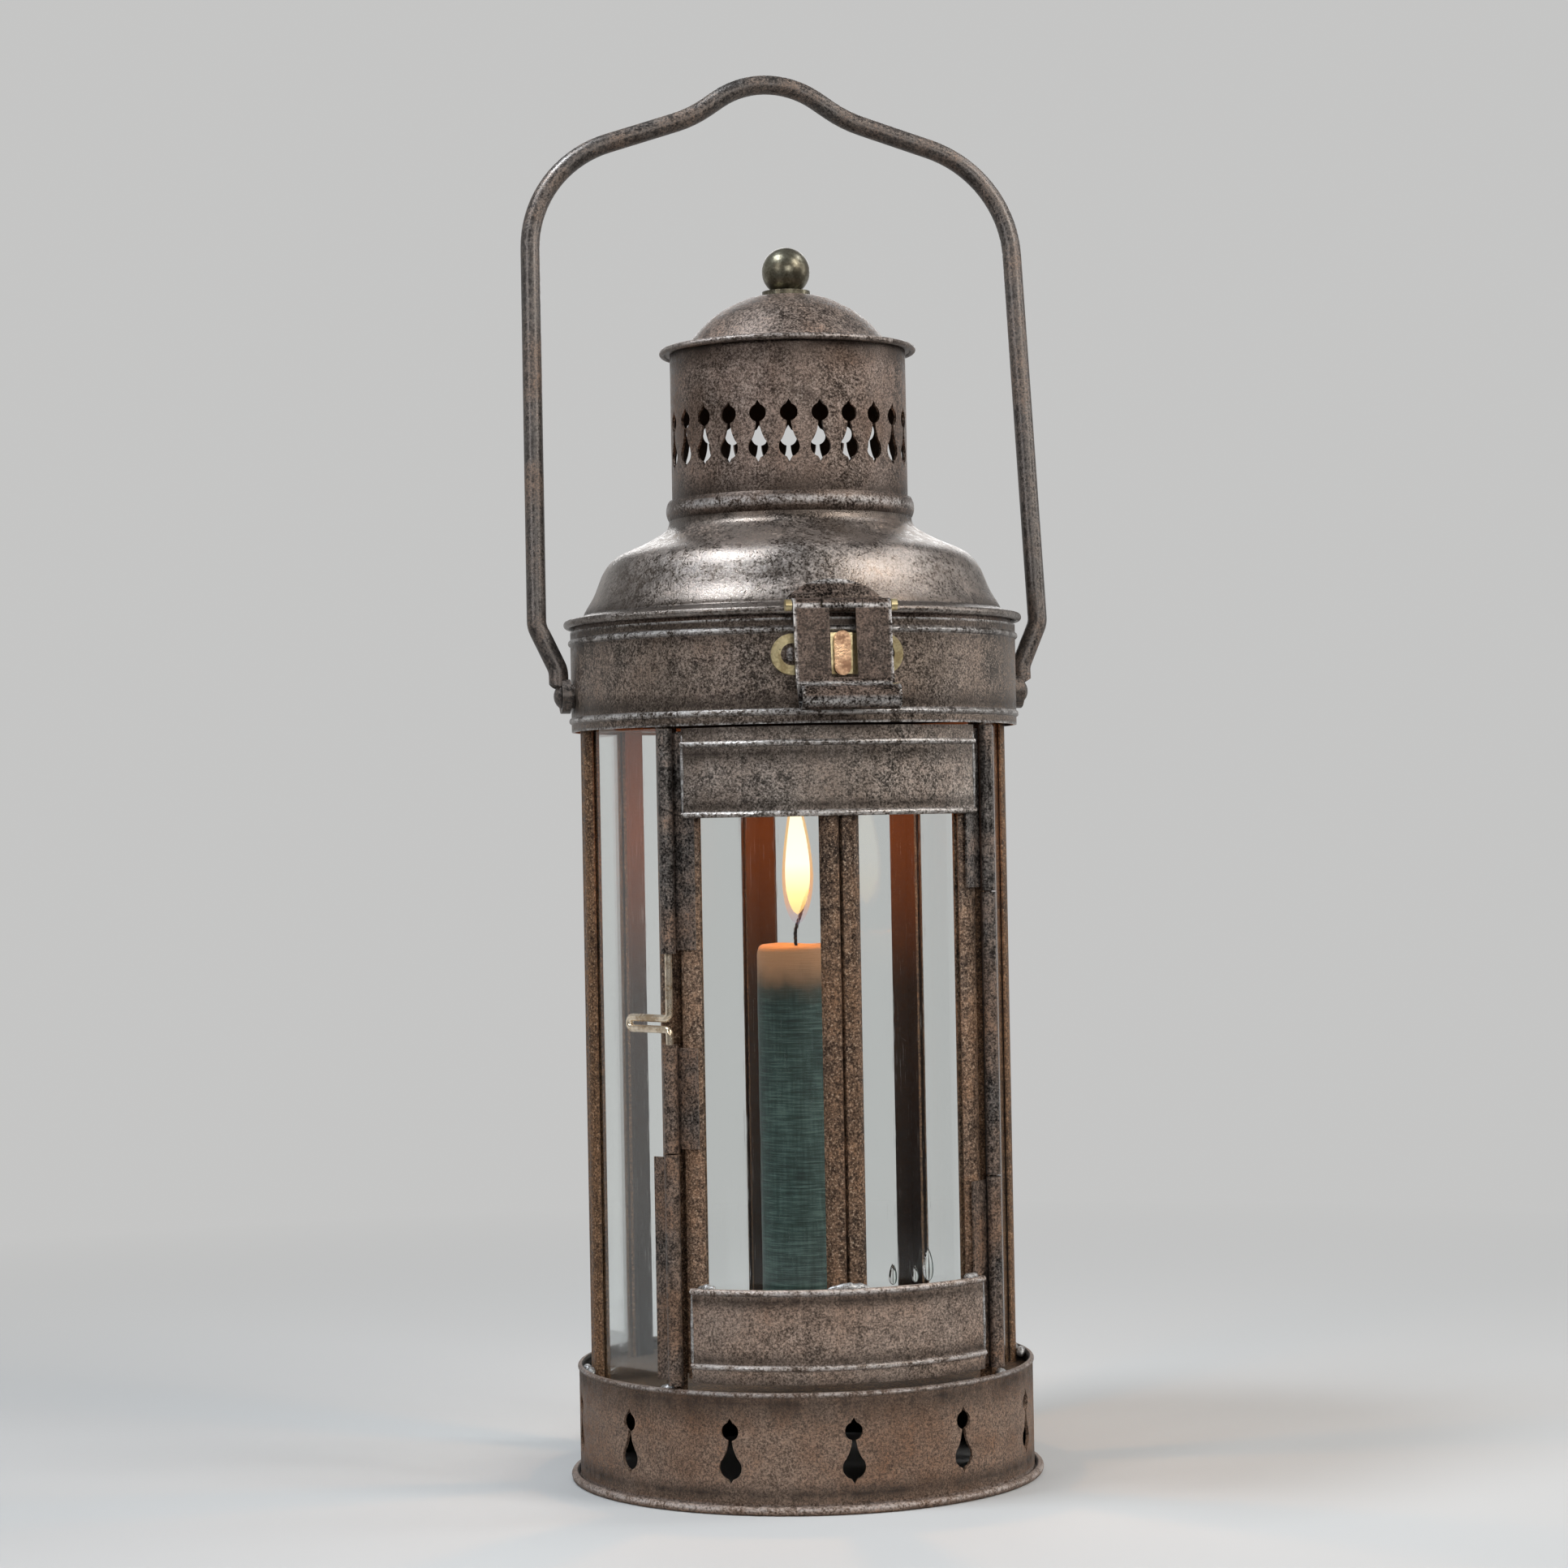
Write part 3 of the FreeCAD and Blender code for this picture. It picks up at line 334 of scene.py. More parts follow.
# %% [markdown]
# ## Aged iron
# The sheet has been handled, heated and left to rust: a brown skin over grey metal, fine enough to
# sparkle where a lamp catches it. Five layers make it: broad patches, a mottle of a few millimetres,
# a grain and a dust of under a millimetre, and long faint runs down the wall. One noise could do, but
# it looks like camouflage, while real rust has detail at every size.

# %% Layers of the sheet
DOWN_THE_WALL = (1.0, 1.0, 8.0)
SHEET_LAYERS = {
    "patches": (0.022, 5.0, 0.62),
    "mottle": (0.0034, 4.0, 0.65),
    "grains": (0.00085, 3.0, 0.60),
    "dust": (0.00042, 2.0, 0.55),
    "runs": (0.0040, 3.0, 0.60, DOWN_THE_WALL),
}


def sheet_layers(tree, coords):
    """Layers of noise by name, from (size in metres, detail, roughness, stretch)."""
    return {name: speckle(tree, coords, *layer) for name, layer in SHEET_LAYERS.items()}


def blend(tree, layers, **weights):
    """Sum of layers by name, each at its own weight."""
    return mixture(tree, *[(layers[name], weight) for name, weight in weights.items()])


def tinted(tree, value, places, colour, depth, lift):
    """Ramp from a darker shade of a colour, through it, to a lighter shade."""
    darker = [channel * depth for channel in colour]
    lighter = [channel * lift for channel in colour]
    return shades(tree, value, list(zip(places, (darker, colour, lighter))))


print("layers of the sheet:", list(SHEET_LAYERS))

# %% [markdown]
# ## Where the iron changes
# Rust follows the broad patches, and thickens towards the foot of the strips. Painted shade darkens
# the hollows beside the rolls and the sheet under the brims, and rolled edges are rubbed bare. Faces
# that look in at the flame are made near black by soot and painted shade, with a painted orange-brown
# glow of the flame at its height. Each of these is a share from nought to one, so that the recipe can
# lay one over the other as paint is laid. A mask could be painted for each piece, but heights from the
# model keep the wear on the rolls when a size changes.

# %% Shares of rust, wear, soot and painted shade
RUST_FOOT = (0.27, 0.06)
RUST_START = 0.56
RUST_EDGE = 0.22
RUST_REACH = 0.26
RUST_MOST = 0.85
# Heights where the painted glow of the flame rises and fades on the inward faces.
FLAME_GLOW_FROM = (0.180, 0.245)
FLAME_GLOW_TO = (0.300, 0.280)
# How far a face must look inward to take soot and painted shade, and the most of it.
SOOT_AND_SHADE_LEAN = (-0.15, -0.55)
SOOT_AND_SHADE_SHARE = 0.94


def rusted(tree, layers, height, share, at_foot):
    """Share of rust over about a share of the sheet, and more of it at the foot."""
    edge = blend(tree, layers, patches=0.62, mottle=0.20, grains=0.18)
    if at_foot:
        edge = maths(tree, "ADD", edge, span(tree, height, *RUST_FOOT, 0.0, at_foot))
    start = RUST_START - RUST_REACH * share
    return span(tree, edge, start, start + RUST_EDGE, 0.0, RUST_MOST)


def near_bands(tree, place, bands):
    """One in the middle of each (middle, half width) band, and nought outside."""
    share = 0.0
    for middle, half in bands:
        away = maths(tree, "ABSOLUTE", maths(tree, "SUBTRACT", place, middle))
        share = maths(tree, "MAXIMUM", share, span(tree, away, 0.0, half, 1.0, 0.0))
    return share


def rubbed_bare(tree, layers, coords, heights, sides, wear):
    """Broken share of wear along bands of height, and along bands beside the axis."""
    band = near_bands(tree, height_above(tree, coords), heights)
    across = maths(tree, "ABSOLUTE", axis_of(tree, coords, "X"))
    band = maths(tree, "MAXIMUM", band, near_bands(tree, across, sides))
    broken = span(tree, blend(tree, layers, patches=0.3, mottle=0.4, grains=0.3), 0.44, 0.58)
    return maths(tree, "MULTIPLY", maths(tree, "MULTIPLY", band, broken), wear)


def sooted_and_shaded(tree, coords):
    """Share of soot and painted shade: most of it on faces that look towards the lantern's axis."""
    level = vector_maths(tree, "MULTIPLY", coords, (1.0, 1.0, 0.0))
    radial = vector_maths(tree, "NORMALIZE", level.outputs["Vector"])
    facing = tree.nodes.new("ShaderNodeTexCoord").outputs["Normal"]
    lean = vector_maths(tree, "DOT_PRODUCT", radial.outputs["Vector"], facing)
    return maths(tree, "MULTIPLY", span(tree, lean.outputs["Value"], *SOOT_AND_SHADE_LEAN), SOOT_AND_SHADE_SHARE)


print("shares are ready")

# %% [markdown]
# ## Iron recipe
# One recipe makes every iron piece, with its own colours and shares, so that the base is the rustiest
# and the roof the brightest. It lays clouds of brown, streaks of fresh rust, painted shade, bare edges,
# pale flecks, and soot with painted shade and a painted glow of the flame over three shades of
# grey-brown. Where rust lies, and on faces that look inward, the surface is rougher and less metallic;
# where it is rubbed, smoother and more so.

# %% Iron recipe
BARE_METAL = (0.60, 0.585, 0.57)
# Painted shade: the dark colour laid in the hollows beside the rolls and under the brims.
PAINTED_SHADE = (0.022, 0.016, 0.012)
# Near-black colour of soot and painted shade on the inward faces.
SOOT_AND_SHADE = (0.006, 0.005, 0.004)
# Orange-brown painted glow of the flame on the inward faces.
PAINTED_FLAME_GLOW = (0.060, 0.024, 0.011)
EMBER_RUST = (0.24, 0.100, 0.038)
PALE_FLECK = (0.50, 0.41, 0.31)
CLOUD_SIZE = 0.034
RUST_DULLS = 0.4
RUST_ROUGHENS = 0.14
WEAR_SMOOTHS = 0.14
SOOT_ROUGHENS = 0.32
FINISHES = {}


def iron_colour(tree, layers, coords, skin, rusty, rust, broad, hot):
    """Colour of the sheet in three shades of skin, with rust, broad clouds and streaks of fresh rust."""
    tone = blend(tree, layers, patches=0.16, mottle=0.24, grains=0.34, dust=0.20, runs=0.06)
    colour = shades(tree, tone, list(zip((0.425, 0.495, 0.580), skin)))
    speckled = blend(tree, layers, grains=0.50, dust=0.30, mottle=0.20)
    colour = layered(tree, rusty, colour, tinted(tree, speckled, (0.41, 0.50, 0.59), rust, 0.35, 2.0))
    if broad:
        clouds = speckle(tree, coords, CLOUD_SIZE, 3.0, 0.65)
        edge = mixture(tree, (clouds, 0.80), (layers["mottle"], 0.20))
        speckled = blend(tree, layers, grains=0.6, dust=0.4)
        brown = tinted(tree, speckled, (0.40, 0.50, 0.60), broad, 0.50, 1.6)
        colour = layered(tree, span(tree, edge, 0.46, 0.64, 0.0, 0.75), colour, brown)
    if hot:
        streaks = blend(tree, layers, patches=0.35, runs=0.35, grains=0.30)
        colour = layered(tree, span(tree, streaks, 0.55, 0.66, 0.0, hot), colour, EMBER_RUST)
    return colour


def iron(name, skin, rust, rust_share, metal, rough=(0.34, 0.50), relief=0.00024, rubbed=(), sides=(),
         wear=0.7, shade_bands=(), broad=None, hot=0.0, flecks=0.0, rust_foot=0.0, gloss=0.30, soot_and_shade_inside=True):
    """Adds a finish of sheet iron, from its dark, middle and light skin and its rust."""
    material, tree, shader, coords = new_finish(name)
    layers = sheet_layers(tree, coords)
    height = height_above(tree, coords)
    rusty = rusted(tree, layers, height, rust_share, rust_foot)
    colour = iron_colour(tree, layers, coords, skin, rusty, rust, broad, hot)
    dull = maths(tree, "SUBTRACT", 1.0, maths(tree, "MULTIPLY", rusty, RUST_DULLS))
    metallic = maths(tree, "MULTIPLY", dull, metal)
    sheen = span(tree, blend(tree, layers, mottle=0.5, grains=0.5), 0.42, 0.58, rough[0] - 0.05, rough[1])
    roughness = maths(tree, "ADD", sheen, maths(tree, "MULTIPLY", rusty, RUST_ROUGHENS))
    # Painted shade: darkens streaky bands in the hollows beside the rolls and under the brims.
    if shade_bands:
        streaks = blend(tree, layers, patches=0.5, runs=0.3, mottle=0.2)
        streaky = span(tree, streaks, 0.36, 0.60, 0.25, 0.95)
        painted_shade_share = maths(tree, "MULTIPLY", near_bands(tree, height, shade_bands), streaky)
        colour = layered(tree, painted_shade_share, colour, PAINTED_SHADE)
    if rubbed:
        worn = rubbed_bare(tree, layers, coords, rubbed, sides, wear)
        colour = layered(tree, worn, colour, BARE_METAL)
        metallic = maths(tree, "MAXIMUM", metallic, worn)
        roughness = maths(tree, "SUBTRACT", roughness, maths(tree, "MULTIPLY", worn, WEAR_SMOOTHS))
    if flecks:
        pale = span(tree, blend(tree, layers, grains=0.55, dust=0.45), 0.575, 0.625, 0.0, flecks)
        colour = layered(tree, pale, colour, PALE_FLECK)
    # Soot and painted shade: faces that look in towards the axis turn near black.
    if soot_and_shade_inside:
        soot_and_shade = sooted_and_shaded(tree, coords)
        # Painted flame light: at the flame's height the inward faces are orange-brown instead of black.
        flame_glow_band = maths(tree, "MULTIPLY", span(tree, height, *FLAME_GLOW_FROM), span(tree, height, *FLAME_GLOW_TO))
        colour = layered(tree, soot_and_shade, colour, layered(tree, flame_glow_band, SOOT_AND_SHADE, PAINTED_FLAME_GLOW))
        metallic = maths(tree, "MULTIPLY", metallic, maths(tree, "SUBTRACT", 1.0, soot_and_shade))
        roughness = maths(tree, "ADD", roughness, maths(tree, "MULTIPLY", soot_and_shade, SOOT_ROUGHENS))
    shader.inputs["Specular IOR Level"].default_value = gloss
    put(tree, shader.inputs["Base Color"], colour)
    put(tree, shader.inputs["Metallic"], metallic if metal else 0.0)
    put(tree, shader.inputs["Roughness"], roughness)
    bumped(tree, shader, blend(tree, layers, grains=0.50, mottle=0.25, dust=0.25), relief)
    FINISHES[name] = material


print("iron recipe is ready")

# %% [markdown]
# ## Rolls and hollows
# Wear and painted shade sit at heights that belong to the pieces: a roll's crown is rubbed, and the
# hollow beside it is darkened with painted shade. The heights are measured on the imported model, and
# each comes with half the width of its band.

# %% Heights of rolls and hollows
def edges(node, inset=0.0):
    """Heights of a node's lower and upper edges, moved in by an inset."""
    low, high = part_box(node)
    return low.z + inset, high.z - inset


def low_edge(node, inset, half):
    """Band of a half width at an inset above a node's lower edge."""
    return edges(node, inset)[0], half


def high_edge(node, inset, half):
    """Band of a half width at an inset below a node's upper edge."""
    return edges(node, inset)[1], half


# The rubbed lists give bands of wear; the other lists give bands of painted shade in the hollows and
# under the brims.
roof_rubbed = [low_edge("roof_shoulder", 0.018, 0.015), low_edge("roof_shoulder", 0.001, 0.002)]
roof_shade = [low_edge("roof_shoulder", 0.0045, 0.005), high_edge("roof_shoulder", 0.0, 0.006)]
cap_rubbed = [low_edge("cap_dome", 0.0014, 0.0012)]
chimney_rubbed = [low_edge("chimney_bead", 0.004, 0.0022)]
chimney_shade = [low_edge("cap_dome", 0.0, 0.010), high_edge("chimney_bead", -0.001, 0.008),
                 low_edge("chimney_bead", 0.0, 0.003)]
collar_rolls = [low_edge("collar", 0.0042, 0.0016), high_edge("collar", 0.0042, 0.0016),
                low_edge("collar", 0.0, 0.0010), high_edge("collar", 0.0, 0.0010)]
collar_shade = [high_edge("collar", 0.0, 0.012), low_edge("collar", 0.0075, 0.006),
                low_edge("collar", 0.0, 0.002)]
top_rolls = [high_edge("door_top_panel", 0.006, 0.0014), low_edge("door_top_panel", 0.0011, 0.0016)]
top_shade = [high_edge("door_top_panel", 0.0, 0.005), high_edge("door_top_panel", 0.0095, 0.005),
             low_edge("door_top_panel", 0.0042, 0.003)]
low_rolls = [low_edge("door_bottom_panel", 0.006, 0.0014), high_edge("door_bottom_panel", 0.0011, 0.0016)]
low_shade = [low_edge("door_bottom_panel", 0.0, 0.004), low_edge("door_bottom_panel", 0.0085, 0.004),
             high_edge("door_bottom_panel", 0.0042, 0.004)]
base_rolls = [high_edge("base_ring", 0.0008, 0.0012), low_edge("base_ring", 0.0022, 0.0016)]
base_shade = [high_edge("base_ring", 0.004, 0.010), low_edge("base_ring", 0.007, 0.005)]
hasp_rolls = [low_edge("hasp_strap", 0.003, 0.0022), low_edge("hasp_strap", 0.0095, 0.0012),
              low_edge("hasp_leaf", 0.0023, 0.0012), high_edge("hasp_leaf", 0.0008, 0.0014)]
hasp_sides = [(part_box("hasp_strap")[1].x, 0.0013), (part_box("hasp_leaf")[1].x, 0.0010)]
print("roof's rubbed band is centred at", round(roof_rubbed[0][0], 4))

# %% Iron of the roof and its hasp
iron("roof_iron", skin=[(0.112, 0.091, 0.077), (0.165, 0.137, 0.117), (0.25, 0.215, 0.19)],
     rust=(0.185, 0.138, 0.108), rust_share=0.38, metal=0.90, rough=(0.30, 0.44), relief=0.00022,
     rubbed=roof_rubbed, wear=0.25, shade_bands=roof_shade, broad=(0.118, 0.089, 0.070), hot=0.10, soot_and_shade_inside=False)
iron("cap_iron", skin=[(0.040, 0.029, 0.023), (0.102, 0.079, 0.065), (0.23, 0.195, 0.17)],
     rust=(0.120, 0.082, 0.062), rust_share=0.60, metal=0.75, rough=(0.36, 0.52), relief=0.00016,
     rubbed=cap_rubbed, wear=0.35, hot=0.15, soot_and_shade_inside=False)
iron("chimney_iron", skin=[(0.034, 0.024, 0.019), (0.122, 0.092, 0.075), (0.34, 0.285, 0.25)],
     rust=(0.130, 0.084, 0.062), rust_share=0.50, metal=0.80,
     rubbed=chimney_rubbed, wear=0.6, shade_bands=chimney_shade, broad=(0.095, 0.060, 0.042), hot=0.18)
iron("hasp_iron", skin=[(0.012, 0.009, 0.007), (0.038, 0.028, 0.022), (0.15, 0.122, 0.104)],
     rust=(0.075, 0.046, 0.033), rust_share=0.46, metal=0.80, rough=(0.28, 0.42), relief=0.00018,
     rubbed=hasp_rolls, sides=hasp_sides, wear=0.8, soot_and_shade_inside=False)
print("iron finishes:", sorted(FINISHES))

# %% Iron of the case, the door and the base
iron("case_iron", skin=[(0.026, 0.020, 0.016), (0.105, 0.083, 0.068), (0.38, 0.32, 0.275)],
     rust=(0.125, 0.084, 0.060), rust_share=0.48, metal=0.75,
     rubbed=collar_rolls, wear=0.85, shade_bands=collar_shade, broad=(0.145, 0.112, 0.088), hot=0.12)
iron("door_iron", skin=[(0.054, 0.046, 0.039), (0.190, 0.160, 0.137), (0.54, 0.475, 0.42)],
     rust=(0.140, 0.096, 0.070), rust_share=0.50, metal=0.75,
     rubbed=top_rolls, wear=0.9, shade_bands=top_shade, broad=(0.105, 0.078, 0.060))
iron("door_low_iron", skin=[(0.060, 0.044, 0.034), (0.205, 0.155, 0.124), (0.48, 0.39, 0.33)],
     rust=(0.175, 0.116, 0.083), rust_share=0.70, metal=0.62, rough=(0.38, 0.54),
     rubbed=low_rolls, wear=0.7, shade_bands=low_shade, broad=(0.25, 0.195, 0.160), hot=0.15)
iron("base_rust", skin=[(0.086, 0.057, 0.041), (0.225, 0.164, 0.125), (0.40, 0.315, 0.255)],
     rust=(0.150, 0.094, 0.064), rust_share=0.90, metal=0.40, rough=(0.48, 0.66), relief=0.00026,
     rubbed=base_rolls, wear=0.45, shade_bands=base_shade, broad=(0.125, 0.068, 0.040), hot=0.40)
iron("floor_soot", skin=[(0.018, 0.013, 0.010), (0.040, 0.029, 0.022), (0.075, 0.056, 0.043)],
     rust=(0.050, 0.030, 0.019), rust_share=0.70, metal=0.0, rough=(0.80, 0.92), relief=0.00022,
     gloss=0.05)
print("iron finishes:", sorted(FINISHES))

# %% Iron of the strips, the tubes and the bail
iron("strip_iron", skin=[(0.022, 0.015, 0.011), (0.080, 0.055, 0.041), (0.21, 0.150, 0.112)],
     rust=(0.140, 0.078, 0.043), rust_share=0.52, metal=0.65, flecks=0.6, hot=0.30, rust_foot=0.10)
# The door's stiles wear a lighter copy of the strip iron: painted light on the stiles.
iron("painted_lit_stile_iron", skin=[(0.038, 0.027, 0.021), (0.145, 0.104, 0.079), (0.36, 0.270, 0.205)],
     rust=(0.165, 0.092, 0.052), rust_share=0.52, metal=0.62, flecks=0.6, hot=0.30, rust_foot=0.10)
iron("tube_iron", skin=[(0.028, 0.024, 0.021), (0.088, 0.078, 0.071), (0.25, 0.232, 0.215)],
     rust=(0.140, 0.080, 0.048), rust_share=0.40, metal=0.75, rough=(0.32, 0.48), relief=0.00020,
     hot=0.20, rust_foot=0.08)
iron("post_iron", skin=[(0.024, 0.015, 0.010), (0.074, 0.045, 0.028), (0.17, 0.108, 0.066)],
     rust=(0.140, 0.075, 0.038), rust_share=0.74, metal=0.58, rough=(0.36, 0.54),
     flecks=0.4, hot=0.35, rust_foot=0.10)
iron("bail_iron", skin=[(0.052, 0.045, 0.041), (0.088, 0.078, 0.071), (0.135, 0.122, 0.112)],
     rust=(0.105, 0.070, 0.050), rust_share=0.42, metal=0.72, rough=(0.34, 0.48), relief=0.00007,
     hot=0.12, soot_and_shade_inside=False)
print("iron finishes:", sorted(FINISHES))

# %% [markdown]
# ## Old brass
# The swivel, its plate and the bolt are brass that hands have kept bright on the edges, with brown
# tarnish in the hollows. The swivel's bar has gone copper red, and the knob dark olive all over. Two
# colours with a soft edge between them are enough: deep relief would make worn brass look cast.

# %% Brass recipe
TARNISH_START = 0.36
TARNISH_EDGE = 0.16
TARNISH_REACH = 0.22


def brass(name, tarnish, bright, tarnish_share, rough):
    """Adds a finish of brass with soft-edged tarnish."""
    material, tree, shader, coords = new_finish(name)
    cloud = speckle(tree, coords, 0.006, 4.0, 0.6)
    grains = speckle(tree, coords, 0.0009, 2.0, 0.5)
    bared = mixture(tree, (cloud, 0.75), (grains, 0.25))
    start = TARNISH_START + TARNISH_REACH * tarnish_share
    worn = span(tree, bared, start, start + TARNISH_EDGE)
    put(tree, shader.inputs["Base Color"], layered(tree, worn, tarnish, bright))
    shader.inputs["Metallic"].default_value = 0.85
    put(tree, shader.inputs["Roughness"], span(tree, cloud, 0.3, 0.7, rough[1], rough[0]))
    bumped(tree, shader, grains, 0.00005)
    FINISHES[name] = material


brass("old_brass", tarnish=(0.34, 0.26, 0.13), bright=(0.72, 0.60, 0.34), tarnish_share=0.25,
      rough=(0.26, 0.44))
brass("copper_brass", tarnish=(0.26, 0.14, 0.080), bright=(0.66, 0.42, 0.25), tarnish_share=0.35,
      rough=(0.22, 0.38))
brass("knob_brass", tarnish=(0.086, 0.074, 0.050), bright=(0.20, 0.185, 0.135), tarnish_share=0.50,
      rough=(0.28, 0.42))
brass("bolt_brass", tarnish=(0.42, 0.31, 0.20), bright=(0.80, 0.69, 0.54), tarnish_share=0.20,
      rough=(0.18, 0.32))
print("brass finishes:", [name for name in FINISHES if "brass" in name])

# %% [markdown]
# ## Window glass
# Thin old panes: clear, a little green, with fine scratches and a haze of dust towards the bottom.
# A plain see-through shader would be quicker, but shows no bright edges. Lamps have to reach the
# candle through the glass, so shadow rays pass straight through it.

# %% Glass recipe
DUSTY_FOOT = (0.075, 0.045)
SCRATCH_STRETCH = (1.0, 1.0, 34.0)
SMEAR_STRETCH = (1.0, 1.0, 4.0)


def clear_finish(name, tint, index, haze_of):
    """Adds a clear finish that lets lamps through; haze_of gives its roughness."""
    material, tree, shader, coords = new_finish(name)
    put(tree, shader.inputs["Base Color"], tint)
    shader.inputs["Transmission Weight"].default_value = 1.0
    shader.inputs["IOR"].default_value = index
    put(tree, shader.inputs["Roughness"], haze_of(tree, coords))
    clear = tree.nodes.new("ShaderNodeBsdfTransparent")
    put(tree, clear.inputs["Color"], tint)
    shadow = tree.nodes.new("ShaderNodeLightPath").outputs["Is Shadow Ray"]
    show(tree, over_shader(tree, shadow, shader.outputs[0], clear.outputs[0]))
    FINISHES[name] = material


def pane_haze(tree, coords):
    """Upright scratches, soft smears and dust near the foot."""
    scratches = speckle(tree, coords, 0.00040, 2.0, 0.5, SCRATCH_STRETCH)
    smears = speckle(tree, coords, 0.012, 4.0, 0.6, SMEAR_STRETCH)
    foot = span(tree, height_above(tree, coords), *DUSTY_FOOT, 0.0, 0.05)
    scratched = span(tree, scratches, 0.62, 0.74, 0.0, 0.16)
    smeared = span(tree, smears, 0.50, 0.75, 0.0, 0.06)
    return maths(tree, "ADD", maths(tree, "ADD", scratched, smeared), foot)


def drip_haze(tree, coords):
    """Faint clouding."""
    return span(tree, speckle(tree, coords, 0.002), 0.4, 0.7, 0.0, 0.08)


clear_finish("window_glass", (0.955, 0.972, 0.966), 1.45, pane_haze)
clear_finish("clear_putty", (0.93, 0.94, 0.92), 1.42, drip_haze)
print("finishes in all:", len(FINISHES))

# %% [markdown]
# ## Which piece has which finish
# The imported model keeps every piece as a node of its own, so each finish is given by name. A new
# piece in the model would stop the script here, instead of going out grey.

# %% Give every solid its finish
WEARS = {
    "roof_iron": ["roof_shoulder"],
    "cap_iron": ["cap_dome"],
    "chimney_iron": ["chimney", "chimney_bead", "roof_spigot"],
    "hasp_iron": ["hasp_leaf", "hasp_strap", "roof_hinge_leaf", "collar_hinge_leaf", "roof_hinge_pin",
                  "staple_rivets"],
    "case_iron": ["collar", "top_plate"],
    "door_iron": ["door_top_panel"],
    "door_low_iron": ["door_bottom_panel"],
    "base_rust": ["base_ring"],
    "floor_soot": ["floor_plate", "candle_dish", "candle_spike"],
    "strip_iron": ["latch_jamb", "door_mullion"],
    "painted_lit_stile_iron": ["door_stile_left", "door_stile_right"],
    "tube_iron": ["latch_keeper", "jamb_knuckle", "door_hinge_pin", "bolt_tube_lower",
                  "bolt_tube_upper", "door_knuckle_lower", "door_knuckle_upper"],
    "post_iron": ["post_back_left", "post_left", "post_right", "post_back_right", "post_back",
                  "hinge_jamb"],
    "bail_iron": ["bail_handle", "bail_rivets"],
    "old_brass": ["staple_plate", "hasp_pin"],
    "copper_brass": ["turn_button"],
    "knob_brass": ["knob"],
    "bolt_brass": ["bolt_wire"],
    "window_glass": ["pane_right_front", "pane_right_rear", "pane_back_right", "pane_back_left",
                     "pane_left_rear", "pane_left_front", "door_pane_left", "door_pane_right"],
}
REPLACED = {"candle", "wick"}
finished = set()
for finish, names in WEARS.items():
    for name in names:
        solids[name].data.materials.clear()
        solids[name].data.materials.append(FINISHES[finish])
        finished.add(name)
bare = set(solids) - finished - REPLACED
assert not bare, bare
print("finished solids:", len(finished))

# %% [markdown]
# ## Candle
# A thick pillar of dark green wax, drawn with fine rings, that glows warm where the flame shines into
# its rim. It is turned from a profile like a pot on a wheel, with a slow wobble so that the wall and
# the melted rim aren't perfect circles. Subsurface light would cost time, so the glow is painted: a
# peach colour of flame light towards the rim, with a darker olive band below it, and a little light of
# its own that fades down the wall.

# %% Turned meshes
def new_piece(name, points, faces, smooth=True):
    """Mesh object at the origin."""
    mesh = bpy.data.meshes.new(name)
    mesh.from_pydata(points, [], faces)
    mesh.polygons.foreach_set("use_smooth", [smooth] * len(mesh.polygons))
    piece = bpy.data.objects.new(name, mesh)
    scene.collection.objects.link(piece)
    return piece


def wall_faces(rows, steps):
    """Four-sided faces between rows of points that close on themselves."""
    faces = []
    for row in range(rows - 1):
        low, high = row * steps, (row + 1) * steps
        for i in range(steps):
            j = (i + 1) % steps
            faces.append((low + i, low + j, high + j, high + i))
    return faces


def turned(name, profile, steps, wobble):
    """Closed mesh turned about the upright axis; wobble moves each (radius, angle, height)."""
    points = []
    for radius, height in profile[1:-1]:
        for i in range(steps):
            angle = math.tau * i / steps
            r, z = wobble(radius, angle, height)
            points.append((r * math.cos(angle), r * math.sin(angle), z))
    rows = len(profile) - 2
    faces = wall_faces(rows, steps)
    points.append((0.0, 0.0, profile[0][1]))
    points.append((0.0, 0.0, profile[-1][1]))
    for i in range(steps):
        j = (i + 1) % steps
        faces.append((rows * steps, j, i))
        faces.append((rows * steps + 1, (rows - 1) * steps + i, (rows - 1) * steps + j))
    return new_piece(name, points, faces)


print("turning tool is ready")

# %% Candle shape
WAX_RADIUS = 0.0158
WAX_FOOT_RADIUS = 0.0152
WAX_FOOT_RISE = 0.0012
WAX_RIM = 0.006
WAX_SIDES = 96
WALL_ROWS = 260
RIPPLE = 0.010
RINGING = 0.004
SAG = 0.0011
POOL_DROP = 0.0030
RIM_DROPS = [(0.0156, 0.0030), (0.0150, 0.0012), (0.0141, 0.0004), (0.0131, 0.0003),
             (0.0121, 0.0010), (0.0105, 0.0022), (0.0080, 0.0028), (0.0040, POOL_DROP)]
wax_low, wax_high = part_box("candle")
WAX_TOP = wax_high.z


def wax_wobble(radius, angle, height):
    """Slow ripple and fine drawn rings on the wall, and a rim that has sagged unevenly."""
    spot = Vector((math.cos(angle) * 1.3, math.sin(angle) * 1.3, height * 40))
    ringed = noise.noise(Vector((math.cos(angle) * 0.6, math.sin(angle) * 0.6, height * 900)))
    r = radius * (1 + RIPPLE * noise.noise(spot) + RINGING * ringed)
    near_rim = max(0.0, (height - WAX_TOP + WAX_RIM) / WAX_RIM)
    sag = SAG * (0.5 + 0.5 * noise.noise(Vector((math.cos(angle), math.sin(angle), 3.7))))
    return r, height - sag * near_rim


